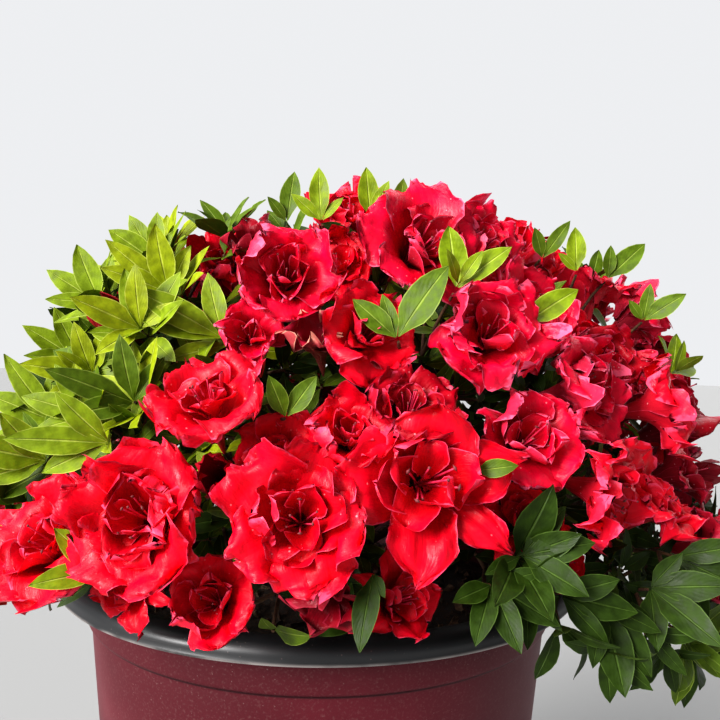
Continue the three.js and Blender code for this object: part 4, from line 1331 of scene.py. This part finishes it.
def bloom_pattern(number):
    """A whole bloom one unit wide, facing local Z."""
    random = seeded(700 + number)
    opened, pointed, frill, inner_lobes, small_petals = BLOOM_FORMS[number]
    patches = []
    for lobe in range(5):
        turn_deg = 72 * lobe + 12 * (random() - 0.5)
        lobe_opened = opened + 0.42 * (random() - 0.5)
        wide = 0.28 + 0.05 * random() - 0.04 * pointed
        cup = 0.75 * (random() - 0.45)
        if number == STAR_FORM:
            turn_deg, wide, lobe_opened = STAR_LOBES[lobe]
        grid = petal_grid(random, turn_deg, lobe_opened, wide, pointed, 1.2 * frill, cup, 23, 17, fine=0.4)
        patches.append(grid)
    aside = Vector((random() - 0.5, random() - 0.5, 0)) * 0.14
    for lobe in range(inner_lobes):
        turn_deg = 36 + 360 * lobe / inner_lobes + 24 * (random() - 0.5)
        lobe_opened = 0.3 + 0.5 * random()
        grid = petal_grid(random, turn_deg, lobe_opened, 0.27, 0.0, 1.2 * frill, 0.35, 15, 13, 0.3, 0.35)
        patches.append(shifted(grid, 0.68 + 0.16 * random(), aside + Vector((0, 0, -0.06))))
    for petal in range(small_petals):
        turn_deg = 18 + 360 * petal / small_petals + 50 * (random() - 0.5)
        cup = 0.3 + 0.8 * random()
        grid = petal_grid(random, turn_deg, 0.05 + 0.7 * random(), 0.21, 0.0, 0.045, cup, 13, 9, 0.34)
        patches.append(shifted(grid, 0.48 + 0.3 * random(), Vector((0, 0, -0.03))))
    return sheet_mesh("bloom", patches, "petal_uv")


def head_place(shoot, patterns_from, pattern_count, tint):
    """The place, turn, size, pattern and tint of a bloom or bud."""
    pick = patterns_from + int(pattern_count * shoot.random())
    if shoot.number < len(FRONT_FORMS):
        pick = FRONT_FORMS[shoot.number]
    return shoot.place * MM, facing(shoot.way, shoot.roll).to_euler(), shoot.size * MM, pick, tint


def bloom_tint(shoot):
    """Scarlet to the left, crimson to the right, partly as painted shade there, and a few rose blooms
    everywhere.
    """
    scarlet, crimson = 0.5, 0.75
    if 220 < shoot.bearing < 285:
        scarlet, crimson = 0.8, 0.85
    elif 292 < shoot.bearing < 350:
        scarlet, crimson = 0.15, 0.85
    chance = seeded(900 + shoot.number)()
    return SCARLET if chance < scarlet else CRIMSON if chance < crimson else ROSE


petal_finishes = [petal_finish(name, *colours, 0.35) for name, colours in PETAL_REDS.items()]
bloom_patterns = pattern_set("bloom", [bloom_pattern(number) for number in range(len(BLOOM_FORMS))])
for shoot in open_blooms:
    shoot.head = head_place(shoot, 0, len(BLOOM_FORMS), bloom_tint(shoot))
parts = {"low_front": ("low", -1), "low_back": ("low", 1), "mid_front": ("mid", -1), "mid_back": ("mid", 1)}
parts["top"] = ("top", 0)
for part, (tier, side) in parts.items():
    chosen = [shoot.head for shoot in open_blooms if shoot.mass.tier == tier and shoot.place.y * side >= 0]
    petals = set_on_shoots(f"petals_{part}", chosen, bloom_patterns, petal_finishes)
    show(f"petals_{part}", petals, foliage_nodes[tier])
discard(bloom_patterns)


# Stamens
# A handful of curved red filaments stands out of each throat, tipped with dark anthers, and one longer style
# reaches past them.
FILAMENT, ANTHER = (0.70, 0.03, 0.10, 1), (0.20, 0.035, 0.04, 1)
FILAMENTS = 6


def plain_finish(name, colour, rough):
    """A small part's finish, with a faint change of tone over its surface."""
    material, tree = begun(name)
    cloud = clouds(place_in(tree), 300.0, 2.0)
    colour = toned(ranged(cloud, 0.3, 0.7, 0.8, 1.2), colour)
    return finished(material, colour, ranged(cloud, 0.3, 0.7, rough - 0.08, rough + 0.08))


def stamen_pattern(number):
    """The filaments and the style of one bloom, each with an anther of eight faces at its tip."""
    random = seeded(800 + number)
    parts, tints = [], []
    for stamen in range(FILAMENTS + 1):
        style = stamen == FILAMENTS
        angle = 6.28 * stamen / FILAMENTS + random()
        lean = 0.05 if style else 0.07 + 0.08 * random()
        height = 0.16 + 0.05 * random() if style else 0.02 + 0.10 * random()
        out = Vector((math.cos(angle), math.sin(angle), 0)) * lean
        tip = Vector((0, 0, height)) + out
        bend = Vector((0, 0, height - 0.1)) + out * 0.7
        line = bent(Vector((0, 0, -0.4)), Vector((0, 0, -0.2)) + out * 0.2, bend, tip, 6)
        parts.append(limb_part(line, 0.009, 0.006, 4, 0))
        tints += [0] * len(parts[-1][1])
        long, thin = (0.012, 0.012) if style else (0.024, 0.011)
        tilt = facing(out + Vector((0, 0, 0.02)), 1.3 * stamen)
        ends = ((1, 0, 0), (0, 1, 0), (-1, 0, 0), (0, -1, 0), (0, 0, 1), (0, 0, -1))
        anther = [tip + tilt @ Vector((x * long, y * thin, z * thin)) for x, y, z in ends]
        faces = [face for a in range(4) for face in ((a, (a + 1) % 4, 4), ((a + 1) % 4, a, 5))]
        parts.append((anther, faces))
        tints += [1] * len(faces)
    mesh = plain_mesh("stamens", *joined(parts))
    mark(mesh, "tint", "INT", "FACE", tints)
    return mesh


stamen_patterns = pattern_set("stamens", [stamen_pattern(number) for number in range(5)])
stamen_finishes = [plain_finish("filament", FILAMENT, 0.5), plain_finish("anther", ANTHER, 0.7)]
stamen_places = [(*shoot.head[:3], shoot.head[3] % 5) for shoot in open_blooms]
stamens = set_on_shoots("stamens_all", stamen_places, stamen_patterns, stamen_finishes)
show("stamens", stamens, all_foliage)
discard(stamen_patterns)


# Buds and faded blooms
# Shut buds show as dark red spindles among the leaves. Blooms that are over hang limp and crumpled, shrunk
# to half their width, and darken to a brownish crimson.
BUD_RED = ((0.13, 0.002, 0.008, 1), (0.36, 0.004, 0.018, 1), (0.45, 0.01, 0.03, 1))
FADED_RED = ((0.12, 0.002, 0.006, 1), (0.27, 0.003, 0.014, 1), (0.42, 0.02, 0.05, 1))
DRIED_RED = ((0.22, 0.004, 0.014, 1), (0.42, 0.010, 0.040, 1), (0.66, 0.30, 0.22, 1))
BUD_FORMS, FADED_FORMS = 2, 3


def bud_pattern(number):
    random = seeded(850 + number)
    lobes = [petal_grid(random, 72 * lobe, -0.15, 0.17, 0.9, 0.01, 0.2, 9, 7) for lobe in range(5)]
    return sheet_mesh("bud", lobes, "petal_uv")


def faded_pattern(number):
    random = seeded(870 + number)
    noise.seed_set(870 + number)
    patches = []
    for lobe in range(5):
        grid = petal_grid(random, 72 * lobe + 20 * random(), 0.1 + 0.6 * random(), 0.17, 0.5, 0.1, 0.5, 12, 9)
        patches.append([[point + noise.noise_vector(point * 7) * 0.035 for point in row] for row in grid])
    return sheet_mesh("faded", patches, "petal_uv")


shut_meshes = [bud_pattern(number) for number in range(BUD_FORMS)]
shut_meshes += [faded_pattern(number) for number in range(FADED_FORMS)]
shut_patterns = pattern_set("shut", shut_meshes)
shut_finishes = [petal_finish("bud petal", *BUD_RED), petal_finish("faded petal", *FADED_RED)]
shut_finishes.append(petal_finish("dried petal", *DRIED_RED, 1.0))
shut_places = []
for shoot in shoots:
    if shoot.kind == "bud":
        shoot.size *= 2.0
        shut_places.append(head_place(shoot, 0, BUD_FORMS, 0))
    elif shoot.kind == "faded":
        dried = shoot.number == len(FRONT_BLOOMS)
        shoot.way = (shoot.way - UP * (0 if dried or shoot.elevation > 50 else 0.8)).normalized()
        shoot.place += UP * (8 if dried else 0)
        shoot.size *= 1.2
        shut_places.append(head_place(shoot, BUD_FORMS, FADED_FORMS, 2 if dried else 1))
shut = set_on_shoots("buds_and_faded_all", shut_places, shut_patterns, shut_finishes)
show("buds_and_faded_blooms", shut, all_foliage)
discard(shut_patterns)


# Floor and light
# A plain pale floor. Soft daylight comes from the whole sky, strongest from the left and the front, as on a
# bright overcast day.
FLOOR_GREY, SKY_GREY = (0.34, 0.34, 0.34, 1), (0.90, 0.91, 0.93, 1)
SKY_LIGHT, SKY_SEEN = 0.30, 0.8

floor_shape = bmesh.new()
bmesh.ops.create_circle(floor_shape, cap_ends=True, segments=64, radius=14)
floor = in_scene("floor", mesh_of(floor_shape, "floor"))
floor_finish, floor_tree = begun("pale floor")
floor_shader = floor_tree.nodes["Principled BSDF"].inputs
floor_shader["Base Color"].default_value = FLOOR_GREY
floor_shader["Roughness"].default_value = 0.9
floor.data.materials.append(floor_finish)


def soft_sun(name, comes_from, power, softness, colour):
    light = bpy.data.lights.new(name, "SUN")
    light.energy = power
    light.angle = math.radians(softness)
    light.color = colour
    in_scene(name, light).rotation_euler = Vector(comes_from).to_track_quat("Z", "Y").to_euler()


soft_sun("sky_high_left", (-0.75, -0.3, 1.0), 2.2, 50, (1.0, 0.99, 0.97))
soft_sun("sky_front_left", (-1.0, -0.8, 0.5), 4.8, 30, (1.0, 0.99, 0.98))
soft_sun("sky_behind", (0.7, 0.8, 0.6), 1.5, 70, (0.96, 0.98, 1.0))
world = bpy.data.worlds.new("overcast sky")
world.use_nodes = True
sky = world.node_tree.nodes["Background"].inputs
sky["Color"].default_value = SKY_GREY
seen = node(world.node_tree, "ShaderNodeLightPath")["Is Camera Ray"]
world.node_tree.links.new(ranged(seen, 0.0, 1.0, SKY_LIGHT, SKY_SEEN), sky["Strength"])
bpy.context.scene.world = world
bpy.context.scene.view_settings.view_transform = "Standard"
bpy.context.scene.view_settings.look = "Medium High Contrast"
